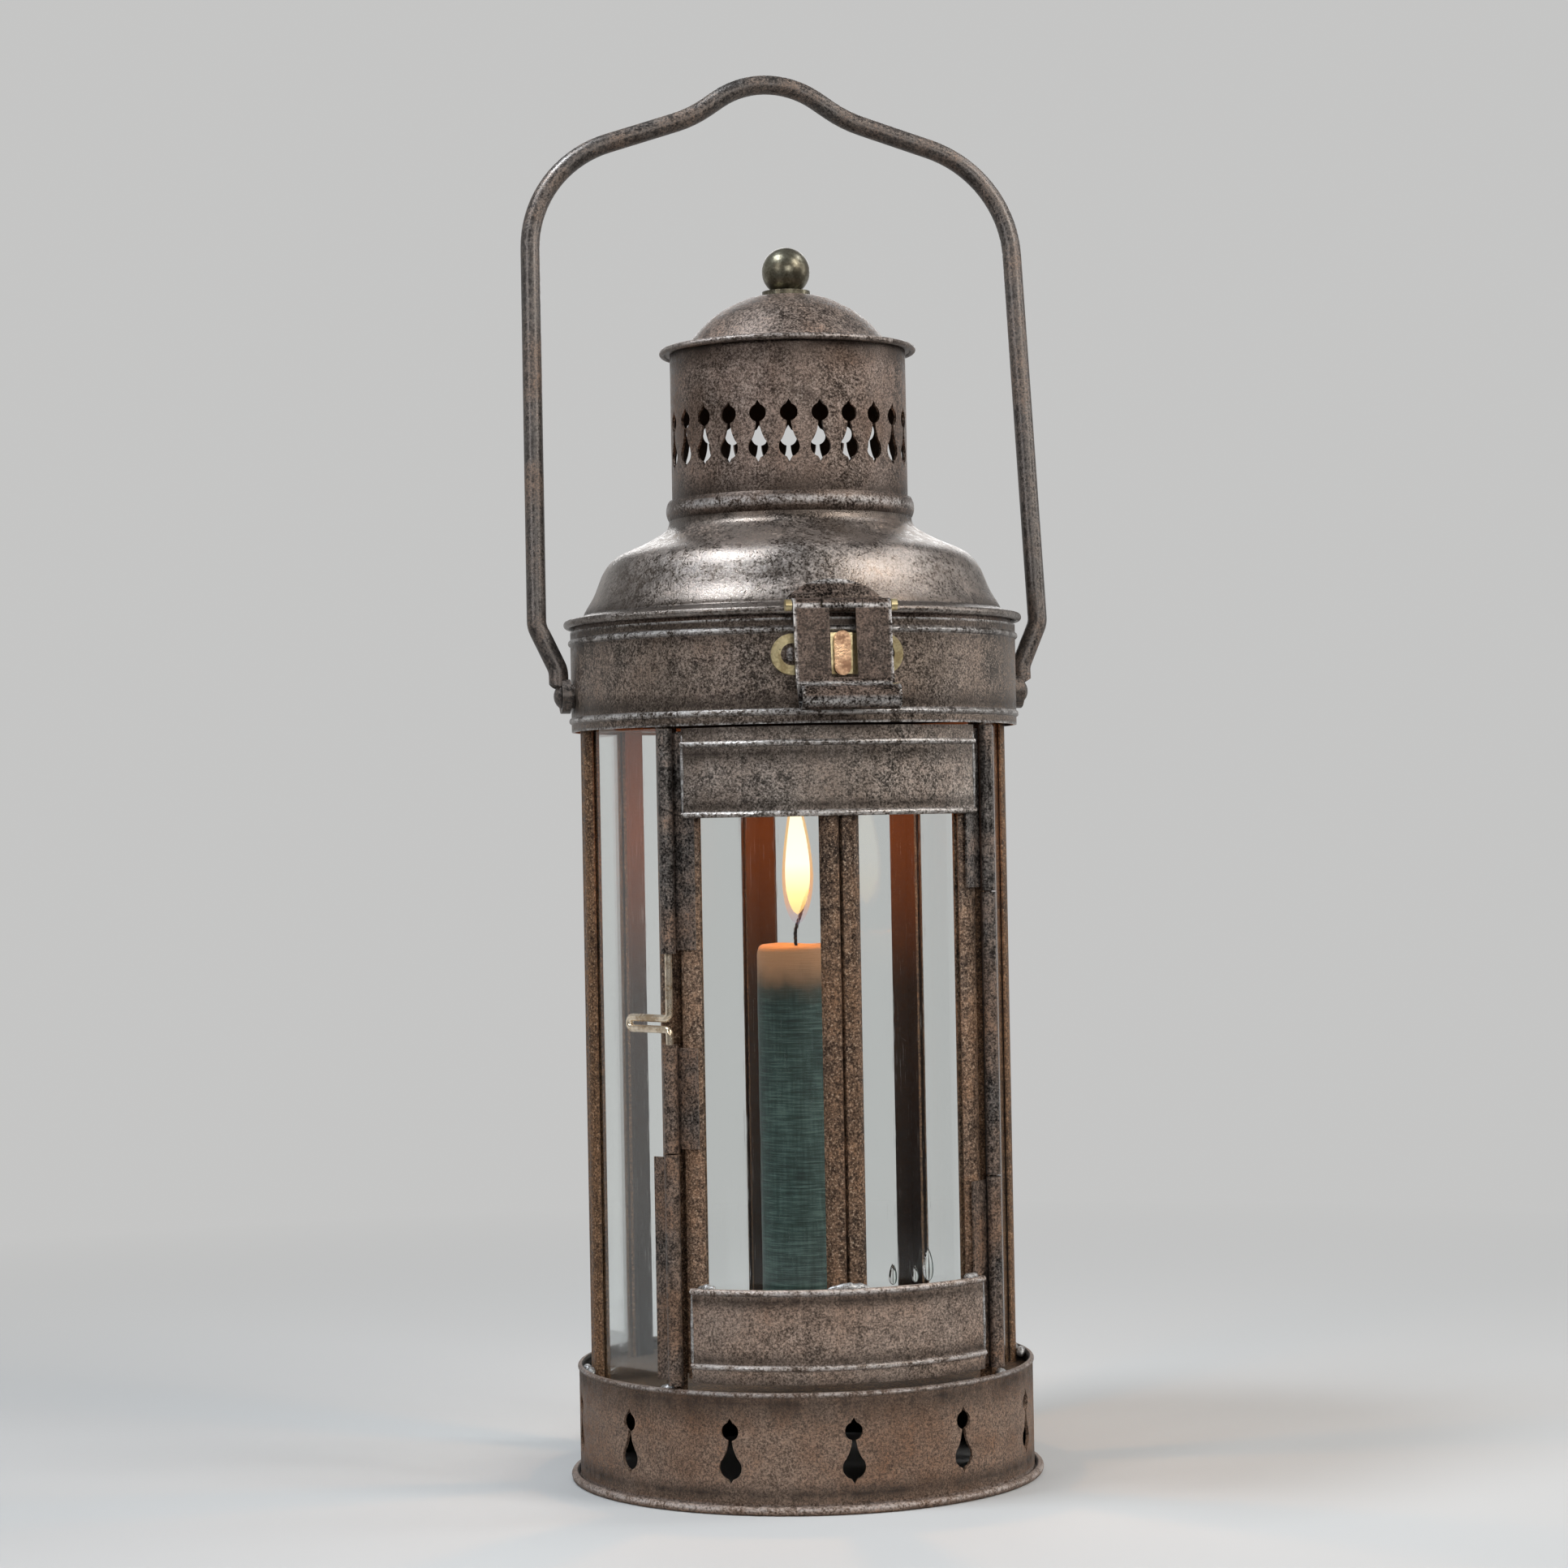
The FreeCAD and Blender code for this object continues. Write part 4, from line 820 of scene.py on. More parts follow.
wall_step = (WAX_TOP - wax_low.z - WAX_RIM) / WALL_ROWS
foot = [(0.0, wax_low.z), (WAX_FOOT_RADIUS, wax_low.z)]
wall = [(WAX_RADIUS, wax_low.z + WAX_FOOT_RISE + i * wall_step) for i in range(WALL_ROWS + 1)]
rim = [(radius, WAX_TOP - drop) for radius, drop in RIM_DROPS]
pool = [(0.0, WAX_TOP - POOL_DROP)]
candle = turned("candle_wax", foot + wall + rim + pool, WAX_SIDES, wax_wobble)
print("candle height in metres:", round(WAX_TOP - wax_low.z, 4))

# %% Candle wax
WAX_SHADES = [(0.40, (0.008, 0.020, 0.016)), (0.50, (0.025, 0.052, 0.043)), (0.60, (0.078, 0.128, 0.106))]
OLIVE = (0.075, 0.058, 0.034)
# Peach colour of painted flame light near the rim.
FLAME_LIT_WAX = (0.34, 0.185, 0.098)
WAX_GLOW = (0.46, 0.19, 0.058)
WAX_GLOW_STRENGTH = 0.28
BLACK = (0.0, 0.0, 0.0)
OLIVE_BELOW_TOP = (0.0190, 0.0090)
FLAME_LIT_BELOW_TOP = (0.0130, 0.0020)
GLOW_BELOW_TOP = (0.018, 0.001)
MELT_UNEVEN = 0.010


def from_top(tree, height, low, high):
    """Share that grows between two depths below the top of the wax."""
    return span(tree, height, WAX_TOP - low, WAX_TOP - high)


wax, tree, shader, coords = new_finish("green_wax")
height = height_above(tree, coords)
rings = speckle(tree, coords, 0.00062, 3.0, 0.70, (22.0, 22.0, 1.0))
threads = speckle(tree, coords, 0.0011, 3.0, 0.65, (1.0, 1.0, 12.0))
clouds = speckle(tree, coords, 0.009, 3.0, 0.6, (1.0, 1.0, 1.6))
green = shades(tree, mixture(tree, (rings, 0.62), (threads, 0.20), (clouds, 0.18)), WAX_SHADES)
melt_edge = maths(tree, "ADD", height, maths(tree, "MULTIPLY", clouds, MELT_UNEVEN))
# The wax turns darker olive in a band below the painted flame light.
olive_band = from_top(tree, melt_edge, *OLIVE_BELOW_TOP)
# Painted flame light: the wax turns peach towards its rim, under the glow.
flame_lit_share = from_top(tree, melt_edge, *FLAME_LIT_BELOW_TOP)
olive = layered(tree, olive_band, green, OLIVE)
put(tree, shader.inputs["Base Color"], layered(tree, flame_lit_share, olive, FLAME_LIT_WAX))
put(tree, shader.inputs["Roughness"], span(tree, rings, 0.3, 0.7, 0.42, 0.60))
glowing = from_top(tree, height, *GLOW_BELOW_TOP)
put(tree, shader.inputs["Emission Color"], layered(tree, glowing, BLACK, WAX_GLOW))
shader.inputs["Emission Strength"].default_value = WAX_GLOW_STRENGTH
bumped(tree, shader, mixture(tree, (rings, 0.8), (threads, 0.2)), 0.0004)
candle.data.materials.append(wax)
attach(candle, "candle_stick")
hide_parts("candle")
print("candle faces:", len(candle.data.polygons))

# %% [markdown]
# ## Chimney sleeve
# Daylight shows right through the chimney where a piercing on its near side lines up with one on its
# far side. The sleeve is round and pushed into the roof's neck, so it may be fitted at any turn. Its
# solid could be left as it is, but then every sight line ends on the dark far wall. This copy of the
# solid is turned about the upright axis until a piercing faces the eye, and stands in for it.

# %% Chimney sleeve turned about its axis
PIERCINGS = 24
MERGE = 0.000002
SHARP_FROM = math.radians(30)
sleeve_turn = EYE_AZIMUTH % (math.tau / PIERCINGS)
chimney_mesh = solids["chimney"].data
spin = Matrix.Rotation(sleeve_turn, 3, "Z")
sleeve = new_piece("chimney_sleeve", [spin @ corner.co for corner in chimney_mesh.vertices],
                   [tuple(face.vertices) for face in chimney_mesh.polygons])
welded = bmesh.new()
welded.from_mesh(sleeve.data)
bmesh.ops.remove_doubles(welded, verts=welded.verts, dist=MERGE)
welded.to_mesh(sleeve.data)
welded.free()
sleeve.data.set_sharp_from_angle(angle=SHARP_FROM)
sleeve.data.materials.append(FINISHES["chimney_iron"])
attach(sleeve, "roof")
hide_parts("chimney")
print("sleeve turned by", round(math.degrees(sleeve_turn), 1), "degrees")

# %% [markdown]
# ## Pieces along a path
# Wick and solder both follow a line, so Geometry Nodes make them: a line of points becomes a curve,
# and a round section is swept along it. The wick's section has three lobes and turns on its way up,
# like a cord of three strands. A solder bead swells and thins at random, and closes at both ends.
# Each result is turned into a plain mesh, because a live tree would not travel with the part.

# %% Tools for node trees
def new_tree(name, inputs):
    """Geometry tree with named inputs of (label, kind, value); gives the tree and its input node."""
    group = bpy.data.node_groups.new(name, "GeometryNodeTree")
    group.interface.new_socket("Geometry", in_out="OUTPUT", socket_type="NodeSocketGeometry")
    group.interface.new_socket("Geometry", in_out="INPUT", socket_type="NodeSocketGeometry")
    for label, kind, value in inputs:
        socket = group.interface.new_socket(label, in_out="INPUT", socket_type=kind)
        if value is not None:
            socket.default_value = value
    return group, group.nodes.new("NodeGroupInput")


def swept(group, curve, section, given, scale=1.0):
    """Ends a tree: section along curve at a scale, smooth, made real and given its finish."""
    mesh = group.nodes.new("GeometryNodeCurveToMesh")
    put(group, mesh.inputs["Curve"], curve)
    put(group, mesh.inputs["Profile Curve"], section)
    put(group, mesh.inputs["Scale"], scale)
    mesh.inputs["Fill Caps"].default_value = True
    finish_tree(group, mesh.outputs["Mesh"], given)


def finish_tree(group, shape, given):
    """Smooth shading, real geometry and the finish, to the tree's output."""
    smooth = group.nodes.new("GeometryNodeSetShadeSmooth")
    put(group, smooth.inputs["Geometry"], shape)
    real = group.nodes.new("GeometryNodeRealizeInstances")
    put(group, real.inputs["Geometry"], smooth.outputs["Geometry"])
    dress = group.nodes.new("GeometryNodeSetMaterial")
    put(group, dress.inputs["Geometry"], real.outputs["Geometry"])
    put(group, dress.inputs["Material"], given.outputs["Finish"])
    end = group.nodes.new("NodeGroupOutput")
    put(group, end.inputs["Geometry"], dress.outputs["Geometry"])


def grown(name, group, points, links, values, sizes=()):
    """Plain mesh object that a tree grows from points and links, with its inputs set by label."""
    seed_mesh = bpy.data.meshes.new(name + "_line")
    seed_mesh.from_pydata(points, links, [])
    if sizes:
        written = seed_mesh.attributes.new("size", "FLOAT_VECTOR", "POINT")
        for slot, size in zip(written.data, sizes):
            slot.vector = size
    seed = bpy.data.objects.new(name + "_line", seed_mesh)
    scene.collection.objects.link(seed)
    modifier = seed.modifiers.new("grow", "NODES")
    modifier.node_group = group
    for socket in group.interface.items_tree:
        if socket.in_out == "INPUT" and socket.name in values:
            modifier[socket.identifier] = values[socket.name]
    depsgraph = bpy.context.evaluated_depsgraph_get()
    mesh = bpy.data.meshes.new_from_object(seed.evaluated_get(depsgraph), depsgraph=depsgraph)
    bpy.data.objects.remove(seed)
    bpy.data.meshes.remove(seed_mesh)
    mesh.name = name
    piece = bpy.data.objects.new(name, mesh)
    scene.collection.objects.link(piece)
    return piece


print("node-tree tools are ready")

# %% Tree of a twisted cord
STRANDS = 3
CORD_SIDES = 18


def cord_tree():
    """Three-stranded cord, twisted along its line."""
    group, given = new_tree("twisted_cord", [("Cord radius", "NodeSocketFloat", 0.0007),
                                             ("Strand depth", "NodeSocketFloat", 0.18),
                                             ("Turns", "NodeSocketFloat", 4.0),
                                             ("Finish", "NodeSocketMaterial", None)])
    curve = group.nodes.new("GeometryNodeMeshToCurve")
    put(group, curve.inputs["Mesh"], given.outputs["Geometry"])
    along = group.nodes.new("GeometryNodeSplineParameter").outputs["Factor"]
    one_turn = maths(group, "MULTIPLY", along, math.tau)
    tilt = group.nodes.new("GeometryNodeSetCurveTilt")
    put(group, tilt.inputs["Curve"], curve.outputs["Curve"])
    put(group, tilt.inputs["Tilt"], maths(group, "MULTIPLY", one_turn, given.outputs["Turns"]))
    circle = group.nodes.new("GeometryNodeCurvePrimitiveCircle")
    circle.inputs["Resolution"].default_value = CORD_SIDES
    put(group, circle.inputs["Radius"], given.outputs["Cord radius"])
    lobes = maths(group, "COSINE", maths(group, "MULTIPLY", along, STRANDS * math.tau))
    swell = maths(group, "ADD", 1.0, maths(group, "MULTIPLY", lobes, given.outputs["Strand depth"]))
    place = group.nodes.new("GeometryNodeInputPosition")
    scaled = vector_maths(group, "SCALE", place.outputs[0])
    put(group, scaled.inputs["Scale"], swell)
    lobed = group.nodes.new("GeometryNodeSetPosition")
    put(group, lobed.inputs["Geometry"], circle.outputs["Curve"])
    put(group, lobed.inputs["Position"], scaled.outputs["Vector"])
    swept(group, tilt.outputs["Curve"], lobed.outputs["Geometry"], given)
    return group


print("cord of", STRANDS, "strands is ready")

# %% Wick cord
WICK_FOOT = WAX_TOP - 0.0055
WICK_RISE = 0.0255
WICK_TIP = WICK_FOOT + WICK_RISE
WICK_STEPS = 60
WICK_RADIUS = 0.00062
WICK_TURNS = 5.0
STRAND_DEPTH = 0.18
BEND = 0.0044
BEND_FROM = 0.35
LEAN_BACK = 0.0008
SWAY = 0.0006
CHAR_SHADES = [(0.35, (0.006, 0.005, 0.005)), (0.7, (0.035, 0.028, 0.024))]
EMBER_GLOW = (1.0, 0.20, 0.03)
EMBER_STRENGTH = 1.6
EMBER_BELOW_TIP = (0.004, 0.001)

wick_line = []
for k in range(WICK_STEPS + 1):
    t = k / WICK_STEPS
    forward = BEND * max(0.0, t - BEND_FROM) ** 1.5 / (1 - BEND_FROM) ** 1.5
    back = LEAN_BACK * math.sin(math.pi * min(1.0, t / 0.6))
    wick_line.append((forward - back, SWAY * math.sin(5 * t), WICK_FOOT + WICK_RISE * t))
wick_links = [(k, k + 1) for k in range(WICK_STEPS)]

char, tree, shader, coords = new_finish("charred_wick")
strands = speckle(tree, coords, 0.0004, 2.0, 0.6, (1.0, 1.0, 2.0))
put(tree, shader.inputs["Base Color"], shades(tree, strands, CHAR_SHADES))
shader.inputs["Roughness"].default_value = 0.9
ember_low, ember_high = [WICK_TIP - depth for depth in EMBER_BELOW_TIP]
ember = span(tree, height_above(tree, coords), ember_low, ember_high)
put(tree, shader.inputs["Emission Color"], layered(tree, ember, BLACK, EMBER_GLOW))
shader.inputs["Emission Strength"].default_value = EMBER_STRENGTH
bumped(tree, shader, strands, 0.0002)
wick = grown("wick_cord", cord_tree(), wick_line, wick_links,
             {"Cord radius": WICK_RADIUS, "Strand depth": STRAND_DEPTH, "Turns": WICK_TURNS,
              "Finish": char})
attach(wick, "candle_stick")
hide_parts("wick")
print("wick faces:", len(wick.data.polygons))

# %% [markdown]
# ## Flame
# The flame is two closed shells, a white-hot core inside an orange mantle that lets the core show:
# one shell alone looks like a painted drop. A small lamp inside it warms the posts behind, and is
# hidden from the camera so that only the shells are seen.

# %% Flame shells
FLAME_FOOT = WAX_TOP + 0.0065
FLAME_TALL = 0.056
FLAME_ROWS = 41
FLAME_SIDES = 32
FLAME_BODY_AT = 0.34
FLAME_CURL = 0.0010
FLAME_LEAN = 0.0012


def flame_shell(name, width, foot, tall):
    """Drop-shaped shell that leans a little as it rises."""
    profile = [(0.0, foot)]
    for k in range(1, FLAME_ROWS):
        t = k / FLAME_ROWS
        swell = math.sin(math.pi * t ** 0.70) ** 0.85 * (1 - 0.30 * t)
        profile.append((width * swell, foot + tall * t))
    profile.append((0.0, foot + tall))
    shell = turned(name, profile, FLAME_SIDES, lambda r, angle, z: (r, z))
    for vertex in shell.data.vertices:
        t = (vertex.co.z - FLAME_FOOT) / FLAME_TALL
        vertex.co.x += FLAME_CURL * math.sin(2.6 * t) - FLAME_LEAN * t
    return shell


def flame_light(name, stops, strength, foot_body, body):
    """Light that changes colour up the flame; the bodies are how solid its foot and the rest look."""
    material, tree, shader, coords = new_finish(name)
    tree.nodes.remove(shader)
    rise = span(tree, height_above(tree, coords), FLAME_FOOT, FLAME_FOOT + FLAME_TALL)
    glow = tree.nodes.new("ShaderNodeEmission")
    put(tree, glow.inputs["Color"], shades(tree, rise, stops))
    glow.inputs["Strength"].default_value = strength
    clear = tree.nodes.new("ShaderNodeBsdfTransparent")
    solid = span(tree, rise, 0.0, FLAME_BODY_AT, foot_body, body)
    show(tree, over_shader(tree, solid, clear.outputs[0], glow.outputs[0]))
    return material


print("flame tools are ready")

# %% Flame
MANTLE_WIDTH = 0.0066
CORE_WIDTH = 0.0053
CORE_RISE = 0.0040
CORE_SHORTER = 0.008
MANTLE_COLOURS = [(0.0, (0.30, 0.22, 0.40)), (0.14, (1.0, 0.34, 0.05)), (0.6, (1.0, 0.55, 0.14)),
                  (1.0, (1.0, 0.45, 0.10))]
CORE_COLOURS = [(0.0, (1.0, 0.50, 0.12)), (0.22, (1.0, 0.80, 0.36)), (0.42, (1.0, 0.97, 0.80)),
                (1.0, (1.0, 0.93, 0.62))]
GLOW_COLOUR = (1.0, 0.46, 0.14)
GLOW_WATTS = 0.55
GLOW_RISE = 0.026
GLOW_SIZE = 0.006

mantle = flame_shell("flame_mantle", MANTLE_WIDTH, FLAME_FOOT, FLAME_TALL)
mantle.data.materials.append(flame_light("flame_orange", MANTLE_COLOURS, 1.15, 0.10, 0.38))
core = flame_shell("flame_core", CORE_WIDTH, FLAME_FOOT + CORE_RISE, FLAME_TALL - CORE_SHORTER)
core.data.materials.append(flame_light("flame_white", CORE_COLOURS, 2.0, 0.25, 0.98))
for shell in (mantle, core):
    shell.visible_shadow = False
    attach(shell, "candle_stick")
glow = bpy.data.lights.new("candle_light", "POINT")
glow.energy = GLOW_WATTS
glow.color = GLOW_COLOUR
glow.shadow_soft_size = GLOW_SIZE
glow_place = bpy.data.objects.new("candle_light", glow)
glow_place.location = (0.0, 0.0, FLAME_FOOT + GLOW_RISE)
glow_place.visible_camera = False
glow_place.visible_glossy = False
glow_place.visible_transmission = False
scene.collection.objects.link(glow_place)
print("flame tip at", round(FLAME_FOOT + FLAME_TALL, 4))

# %% [markdown]
# ## Solder
# The cage, the door and its panels are soft-soldered. The joints show as grey beads at the foot of
# each strip and down the ends of the door's panels. They could be sculpted one by one, but a swept
# line that swells at random gives each bead its own shape from a single tree.

# %% Solder finish and tree
SOLDER_SHADES = [(0.38, (0.11, 0.095, 0.085)), (0.5, (0.27, 0.26, 0.25)), (0.62, (0.52, 0.51, 0.50))]
BEAD_STEP = 0.0005
BEAD_SIDES = 12
BEAD_THINNEST = 0.00005
SWELL_LENGTH = 0.003


def solder_finish():
    """Dull grey metal, brighter on its bumps."""
    material, tree, shader, coords = new_finish("grey_solder")
    cloud = speckle(tree, coords, 0.0022, 4.0, 0.65)
    grains = speckle(tree, coords, 0.0006, 2.0, 0.5)
    tone = mixture(tree, (cloud, 0.6), (grains, 0.4))
    put(tree, shader.inputs["Base Color"], shades(tree, tone, SOLDER_SHADES))
    shader.inputs["Metallic"].default_value = 0.75
    put(tree, shader.inputs["Roughness"], span(tree, cloud, 0.35, 0.65, 0.58, 0.36))
    bumped(tree, shader, tone, 0.0002)
    return material


def solder_tree():
    """Bead along each line that swells at random and closes at its ends."""
    group, given = new_tree("solder_bead", [("Bead radius", "NodeSocketFloat", 0.0008),
                                            ("Swelling", "NodeSocketFloat", 0.8),
                                            ("Swell length", "NodeSocketFloat", SWELL_LENGTH),
                                            ("Seed", "NodeSocketFloat", 1.0),
                                            ("Finish", "NodeSocketMaterial", None)])
    curve = group.nodes.new("GeometryNodeMeshToCurve")
    put(group, curve.inputs["Mesh"], given.outputs["Geometry"])
    even = group.nodes.new("GeometryNodeResampleCurve")
    even.mode = "LENGTH"
    even.inputs["Length"].default_value = BEAD_STEP
    put(group, even.inputs["Curve"], curve.outputs["Curve"])
    lumps = group.nodes.new("ShaderNodeTexNoise")
    lumps.noise_dimensions = "4D"
    put(group, lumps.inputs["Vector"], group.nodes.new("GeometryNodeInputPosition").outputs[0])
    put(group, lumps.inputs["W"], given.outputs["Seed"])
    put(group, lumps.inputs["Scale"], maths(group, "DIVIDE", 1.0, given.outputs["Swell length"]))
    along = group.nodes.new("GeometryNodeSplineParameter").outputs["Factor"]
    arch = maths(group, "SINE", maths(group, "MULTIPLY", along, math.pi))
    closing = maths(group, "POWER", arch, 0.4)
    centred = maths(group, "SUBTRACT", lumps.outputs[0], 0.5)
    uneven = maths(group, "MULTIPLY", centred, given.outputs["Swelling"])
    swollen = maths(group, "ADD", 1.0, maths(group, "MULTIPLY", uneven, 2.0))
    size = maths(group, "MULTIPLY", swollen, closing)
    size = maths(group, "MULTIPLY", size, given.outputs["Bead radius"])
    size = maths(group, "MAXIMUM", size, BEAD_THINNEST)
    circle = group.nodes.new("GeometryNodeCurvePrimitiveCircle")
    circle.inputs["Resolution"].default_value = BEAD_SIDES
    circle.inputs["Radius"].default_value = 1.0
    swept(group, even.outputs["Curve"], circle.outputs["Curve"], given, size)
    return group


SOLDER = solder_finish()
BEADS = solder_tree()
print("solder tools are ready")

# %% Tools for solder lines
def around(angle, radius, height):
    """Point at an angle round the lantern, counted from the door's middle towards +X, in degrees."""
    turn = math.radians(angle)
    return (radius * math.sin(turn), -radius * math.cos(turn), height)


def arc_line(middle, half, radius, height, droop):
    """Short level line round the lantern, sagging at its ends."""
    places = (-1.0, -0.5, 0.0, 0.5, 1.0)
    return [around(middle + half * s, radius, height - droop * s * s) for s in places]


def upright_line(angle, radius, foot, top, steps=8):
    """Straight line up the wall."""
    return [around(angle, radius, foot + (top - foot) * k / steps) for k in range(steps + 1)]


def solder(name, body, lines, radius, swelling, seed):
    """Beads along lines of points, riding on a body."""
    points, links = [], []
    for line in lines:
        links += [(len(points) + k, len(points) + k + 1) for k in range(len(line) - 1)]
        points += line
    piece = grown(name, BEADS, points, links,
                  {"Bead radius": radius, "Swelling": swelling, "Seed": seed,
                   "Swell length": SWELL_LENGTH, "Finish": SOLDER})
    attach(piece, body)
    print(name, "faces:", len(piece.data.polygons))


print("solder lines can be drawn")

# %% Solder lines
BOTH_SIDES = (-1, 1)
MULLION_HALF = 5.6
MULLION_RADIUS = 0.0824
STILE_ANGLE = 36.6
STILE_HALF = 2.6
STILE_RADIUS = 0.0826
PANEL_END = 40.4
END_RADIUS = 0.0838
POST_ANGLES = [-135.0, -90.0, 90.0, 135.0, 180.0]
STRIP_OFFSET = 3.2
JAMB_ANGLE = 48.4
STRIP_HALF = 2.2
FOOT_RADIUS = 0.0836
FOOT_DROOP = 0.0008

panel_foot, panel_top = edges("door_bottom_panel")
head_foot, head_top = edges("door_top_panel")
lip = edges("base_ring")[1]
door_feet = [arc_line(0.0, MULLION_HALF, MULLION_RADIUS, panel_top + 0.0002, 0.0006)]
for side in BOTH_SIDES:
    door_feet.append(arc_line(side * STILE_ANGLE, STILE_HALF, STILE_RADIUS, panel_top, 0.0004))
solder("solder_door_foot", "door", door_feet, radius=0.0017, swelling=0.75, seed=4.0)

door_ends = []
for side in BOTH_SIDES:
    door_ends.append(upright_line(side * PANEL_END, END_RADIUS, panel_foot + 0.003, panel_top - 0.001))
    door_ends.append(upright_line(side * PANEL_END, END_RADIUS, head_foot + 0.001, head_top - 0.002))
solder("solder_door_ends", "door", door_ends, radius=0.0007, swelling=0.6, seed=7.0)

case_feet = []
for corner in POST_ANGLES:
    for side in BOTH_SIDES:
        strip = corner + side * STRIP_OFFSET
        case_feet.append(arc_line(strip, STRIP_HALF, FOOT_RADIUS, lip - 0.0012, FOOT_DROOP))
for side in BOTH_SIDES:
    case_feet.append(arc_line(side * JAMB_ANGLE, STRIP_HALF, FOOT_RADIUS, lip - 0.0010, FOOT_DROOP))
solder("solder_case_feet", "case", case_feet, radius=0.0019, swelling=0.7, seed=11.0)

# %% [markdown]
# ## Stop strips
# The door shuts against a narrow strip behind each of its edges, which also keeps the light from
# showing through the gap. A real one would be folded out of the jamb or soldered to it, so it rides on
# the case. Each is a slim bar with rounded long edges, a little wavy, drawn once and mirrored.

# %% Strips behind the door's edges
STOP_LOW = edges("door_stile_left", 0.0012)[0]
STOP_HIGH = edges("door_stile_left", 0.0010)[1]
STOP_EDGE = Vector((-0.05339, -0.05548, 0.0))
STOP_ALONG = Vector((0.923, -0.386, 0.0))
STOP_INWARD = Vector((0.386, 0.923, 0.0))
STOP_REACH = (-0.0022, 0.0030)
STOP_DEPTH = (0.00035, 0.00095)
STOP_ROUND = 0.0002
STOP_WAVE = 0.0002
STOP_ROWS = 60


def stop_section():
    """Six corners of a strip, as (along the pane, inward) from the door's edge."""
    start, end = STOP_REACH
    near, deep = STOP_DEPTH
    middle = (near + deep) / 2
    return [(start, middle), (start + STOP_ROUND, near), (end - STOP_ROUND, near), (end, middle),
            (end - STOP_ROUND, deep), (start + STOP_ROUND, deep)]


def stop_strip(name, side):
    """Upright strip behind the door's left edge, or mirrored behind its right edge."""
    section = stop_section()
    count = len(section)
    points = []
    for row in range(STOP_ROWS + 1):
        z = STOP_LOW + (STOP_HIGH - STOP_LOW) * row / STOP_ROWS
        wave = STOP_WAVE * noise.noise(Vector((side * 3.0, 0.0, z * 60)))
        for along, inward in section:
            place = STOP_EDGE + STOP_ALONG * (along + wave) + STOP_INWARD * inward
            points.append((side * -place.x, place.y, z))
    faces = wall_faces(STOP_ROWS + 1, count)
    faces.append(tuple(reversed(range(count))))
    faces.append(tuple(STOP_ROWS * count + k for k in range(count)))
    if side > 0:
        faces = [face[::-1] for face in faces]
    strip = new_piece(name, points, faces, smooth=False)
    strip.data.materials.append(FINISHES["post_iron"])
    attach(strip, "case")


stop_strip("latch_stop", -1)
stop_strip("hinge_stop", 1)
print("stop strips reach", round(STOP_HIGH, 4))

# %% [markdown]
# ## Clear drips
# A few drops of clear putty have set at the foot of the door's right pane. Each is the same drop,
# set on a point and scaled by its own size, which is what instances are for.

# %% Tree of drips
DROP_SEGMENTS = 20
DROP_RINGS = 14
DROP_WAIST = 0.85


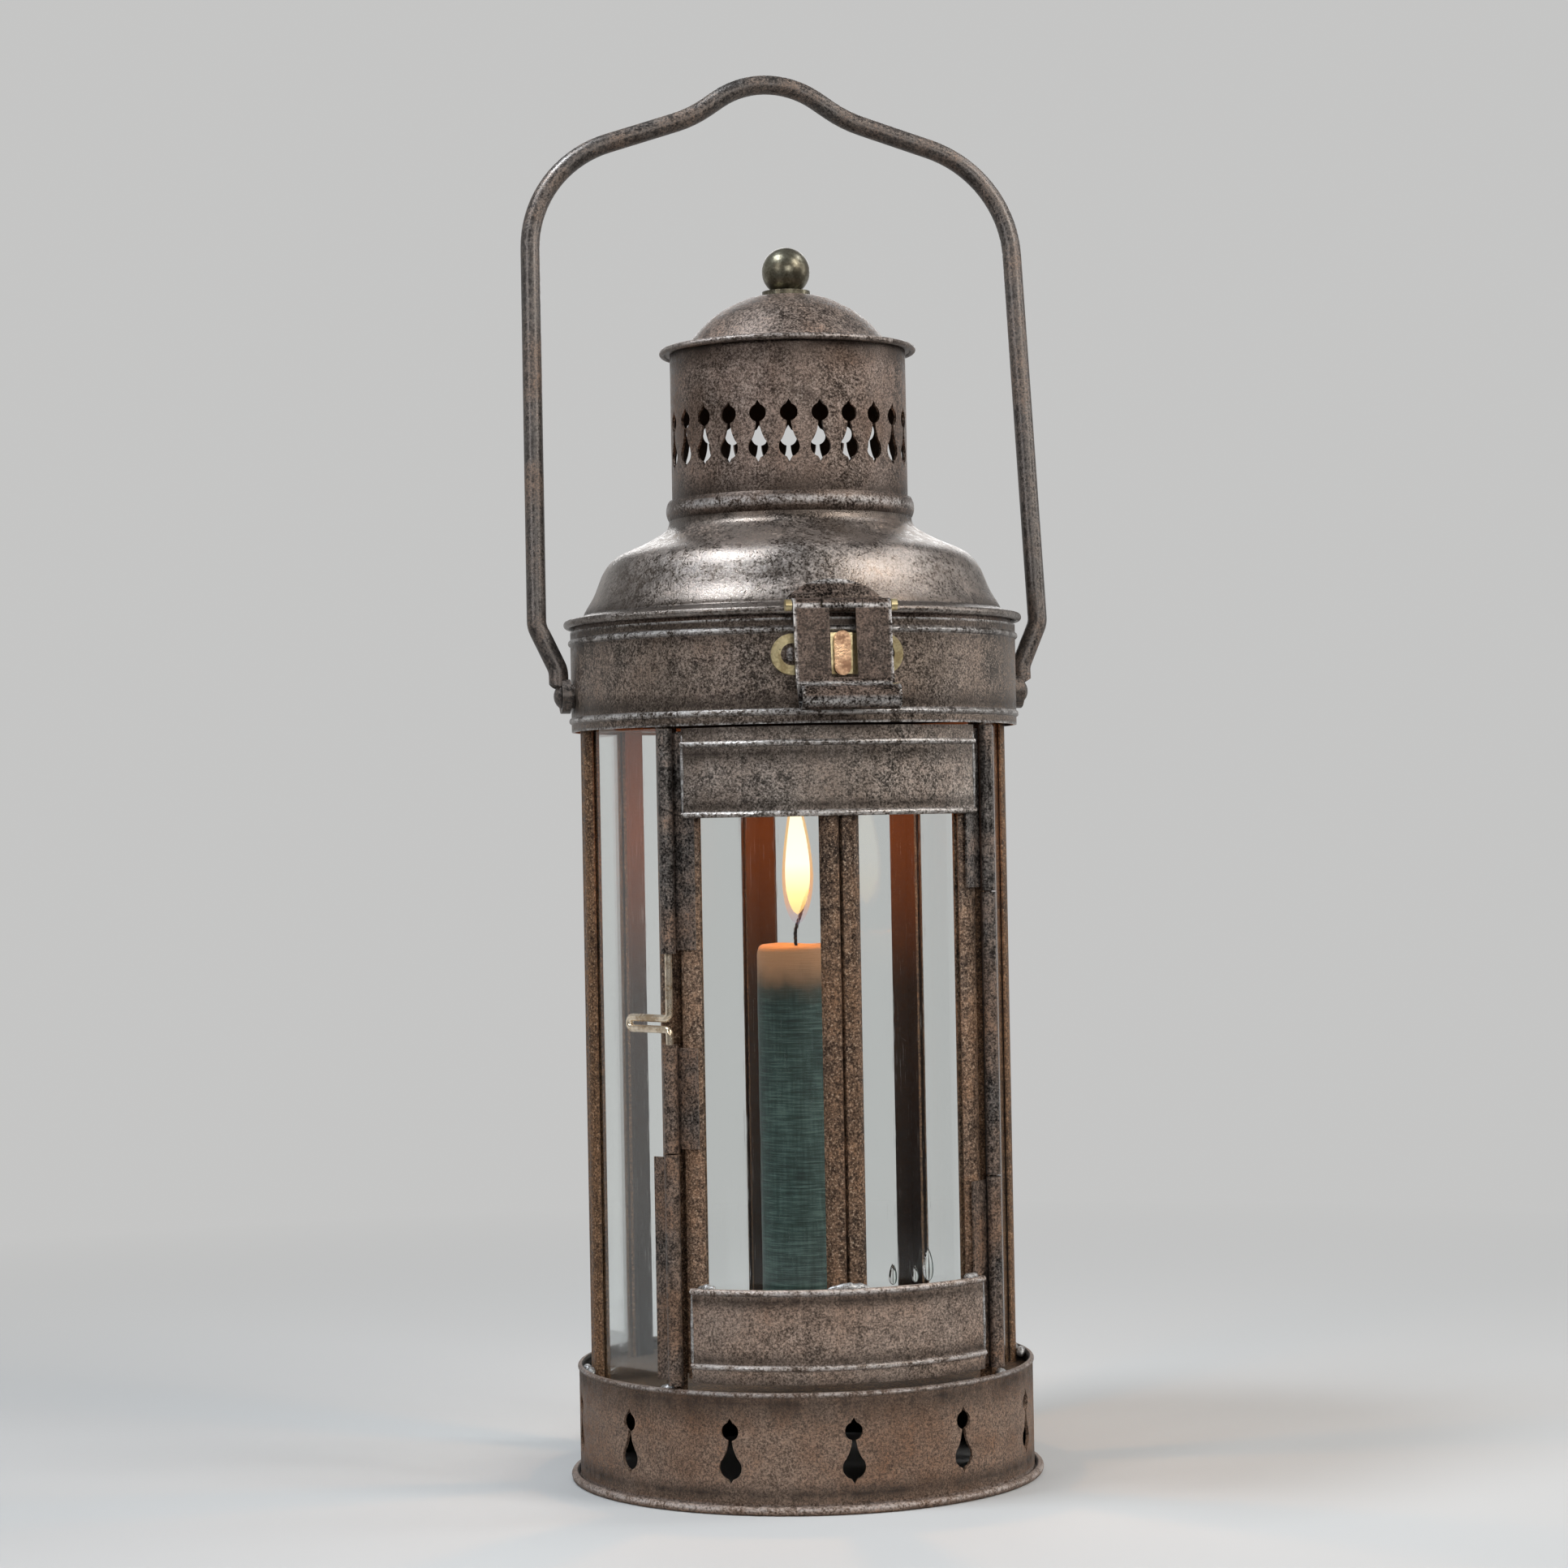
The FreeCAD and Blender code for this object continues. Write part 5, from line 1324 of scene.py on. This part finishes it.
def drip_tree():
    """A drop on every point, as large as the point's own size says, turned to lie on the pane."""
    group, given = new_tree("clear_drip", [("Taper", "NodeSocketFloat", 0.3),
                                           ("Turn", "NodeSocketFloat", 0.0),
                                           ("Finish", "NodeSocketMaterial", None)])
    ball = group.nodes.new("GeometryNodeMeshUVSphere")
    ball.inputs["Segments"].default_value = DROP_SEGMENTS
    ball.inputs["Rings"].default_value = DROP_RINGS
    ball.inputs["Radius"].default_value = 1.0
    split = group.nodes.new("ShaderNodeSeparateXYZ")
    put(group, split.inputs[0], group.nodes.new("GeometryNodeInputPosition").outputs[0])
    narrowing = maths(group, "MULTIPLY", split.outputs["Z"], given.outputs["Taper"])
    slim = maths(group, "SUBTRACT", DROP_WAIST, narrowing)
    joined = group.nodes.new("ShaderNodeCombineXYZ")
    put(group, joined.inputs["X"], maths(group, "MULTIPLY", split.outputs["X"], slim))
    put(group, joined.inputs["Y"], maths(group, "MULTIPLY", split.outputs["Y"], slim))
    put(group, joined.inputs["Z"], split.outputs["Z"])
    drop = group.nodes.new("GeometryNodeSetPosition")
    put(group, drop.inputs["Geometry"], ball.outputs["Mesh"])
    put(group, drop.inputs["Position"], joined.outputs[0])
    turn = group.nodes.new("ShaderNodeCombineXYZ")
    put(group, turn.inputs["Z"], given.outputs["Turn"])
    rotation = group.nodes.new("FunctionNodeEulerToRotation")
    put(group, rotation.inputs[0], turn.outputs[0])
    size = group.nodes.new("GeometryNodeInputNamedAttribute")
    size.data_type = "FLOAT_VECTOR"
    size.inputs["Name"].default_value = "size"
    points = group.nodes.new("GeometryNodeMeshToPoints")
    put(group, points.inputs["Mesh"], given.outputs["Geometry"])
    placed = group.nodes.new("GeometryNodeInstanceOnPoints")
    put(group, placed.inputs["Points"], points.outputs["Points"])
    put(group, placed.inputs["Instance"], drop.outputs["Geometry"])
    put(group, placed.inputs["Rotation"], rotation.outputs[0])
    put(group, placed.inputs["Scale"], size.outputs[0])
    finish_tree(group, placed.outputs["Instances"], given)
    return group


print("drip tree is ready")

# %% Drips on the door's glass
PANE_FACING = math.radians(22.5)
DRIPS = [(-0.012, 0.0020, 0.0038), (-0.002, 0.0016, 0.0030), (0.0035, 0.0026, 0.0060)]
DRIP_FLATNESS = 0.45
DRIP_TAPER = 0.3
DRIP_SINK = 0.0004
outward = Vector((math.sin(PANE_FACING), -math.cos(PANE_FACING), 0))
sideways = Vector((math.cos(PANE_FACING), math.sin(PANE_FACING), 0))
pane_corners = [corner.co for corner in solids["door_pane_right"].data.vertices]
pane_reach = round(max(corner.dot(outward) for corner in pane_corners), 4)
places, sizes = [], []
for across, half, tall in DRIPS:
    depth = half * DRIP_FLATNESS
    up = Vector((0, 0, panel_top + tall - DRIP_SINK))
    places.append(outward * (pane_reach + depth) + sideways * across + up)
    sizes.append((half, depth, tall))
drips = grown("clear_drips", drip_tree(), places, [],
              {"Taper": DRIP_TAPER, "Turn": PANE_FACING, "Finish": FINISHES["clear_putty"]}, sizes)
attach(drips, "door")
print("pane reaches", pane_reach, "and drip faces:", len(drips.data.polygons))
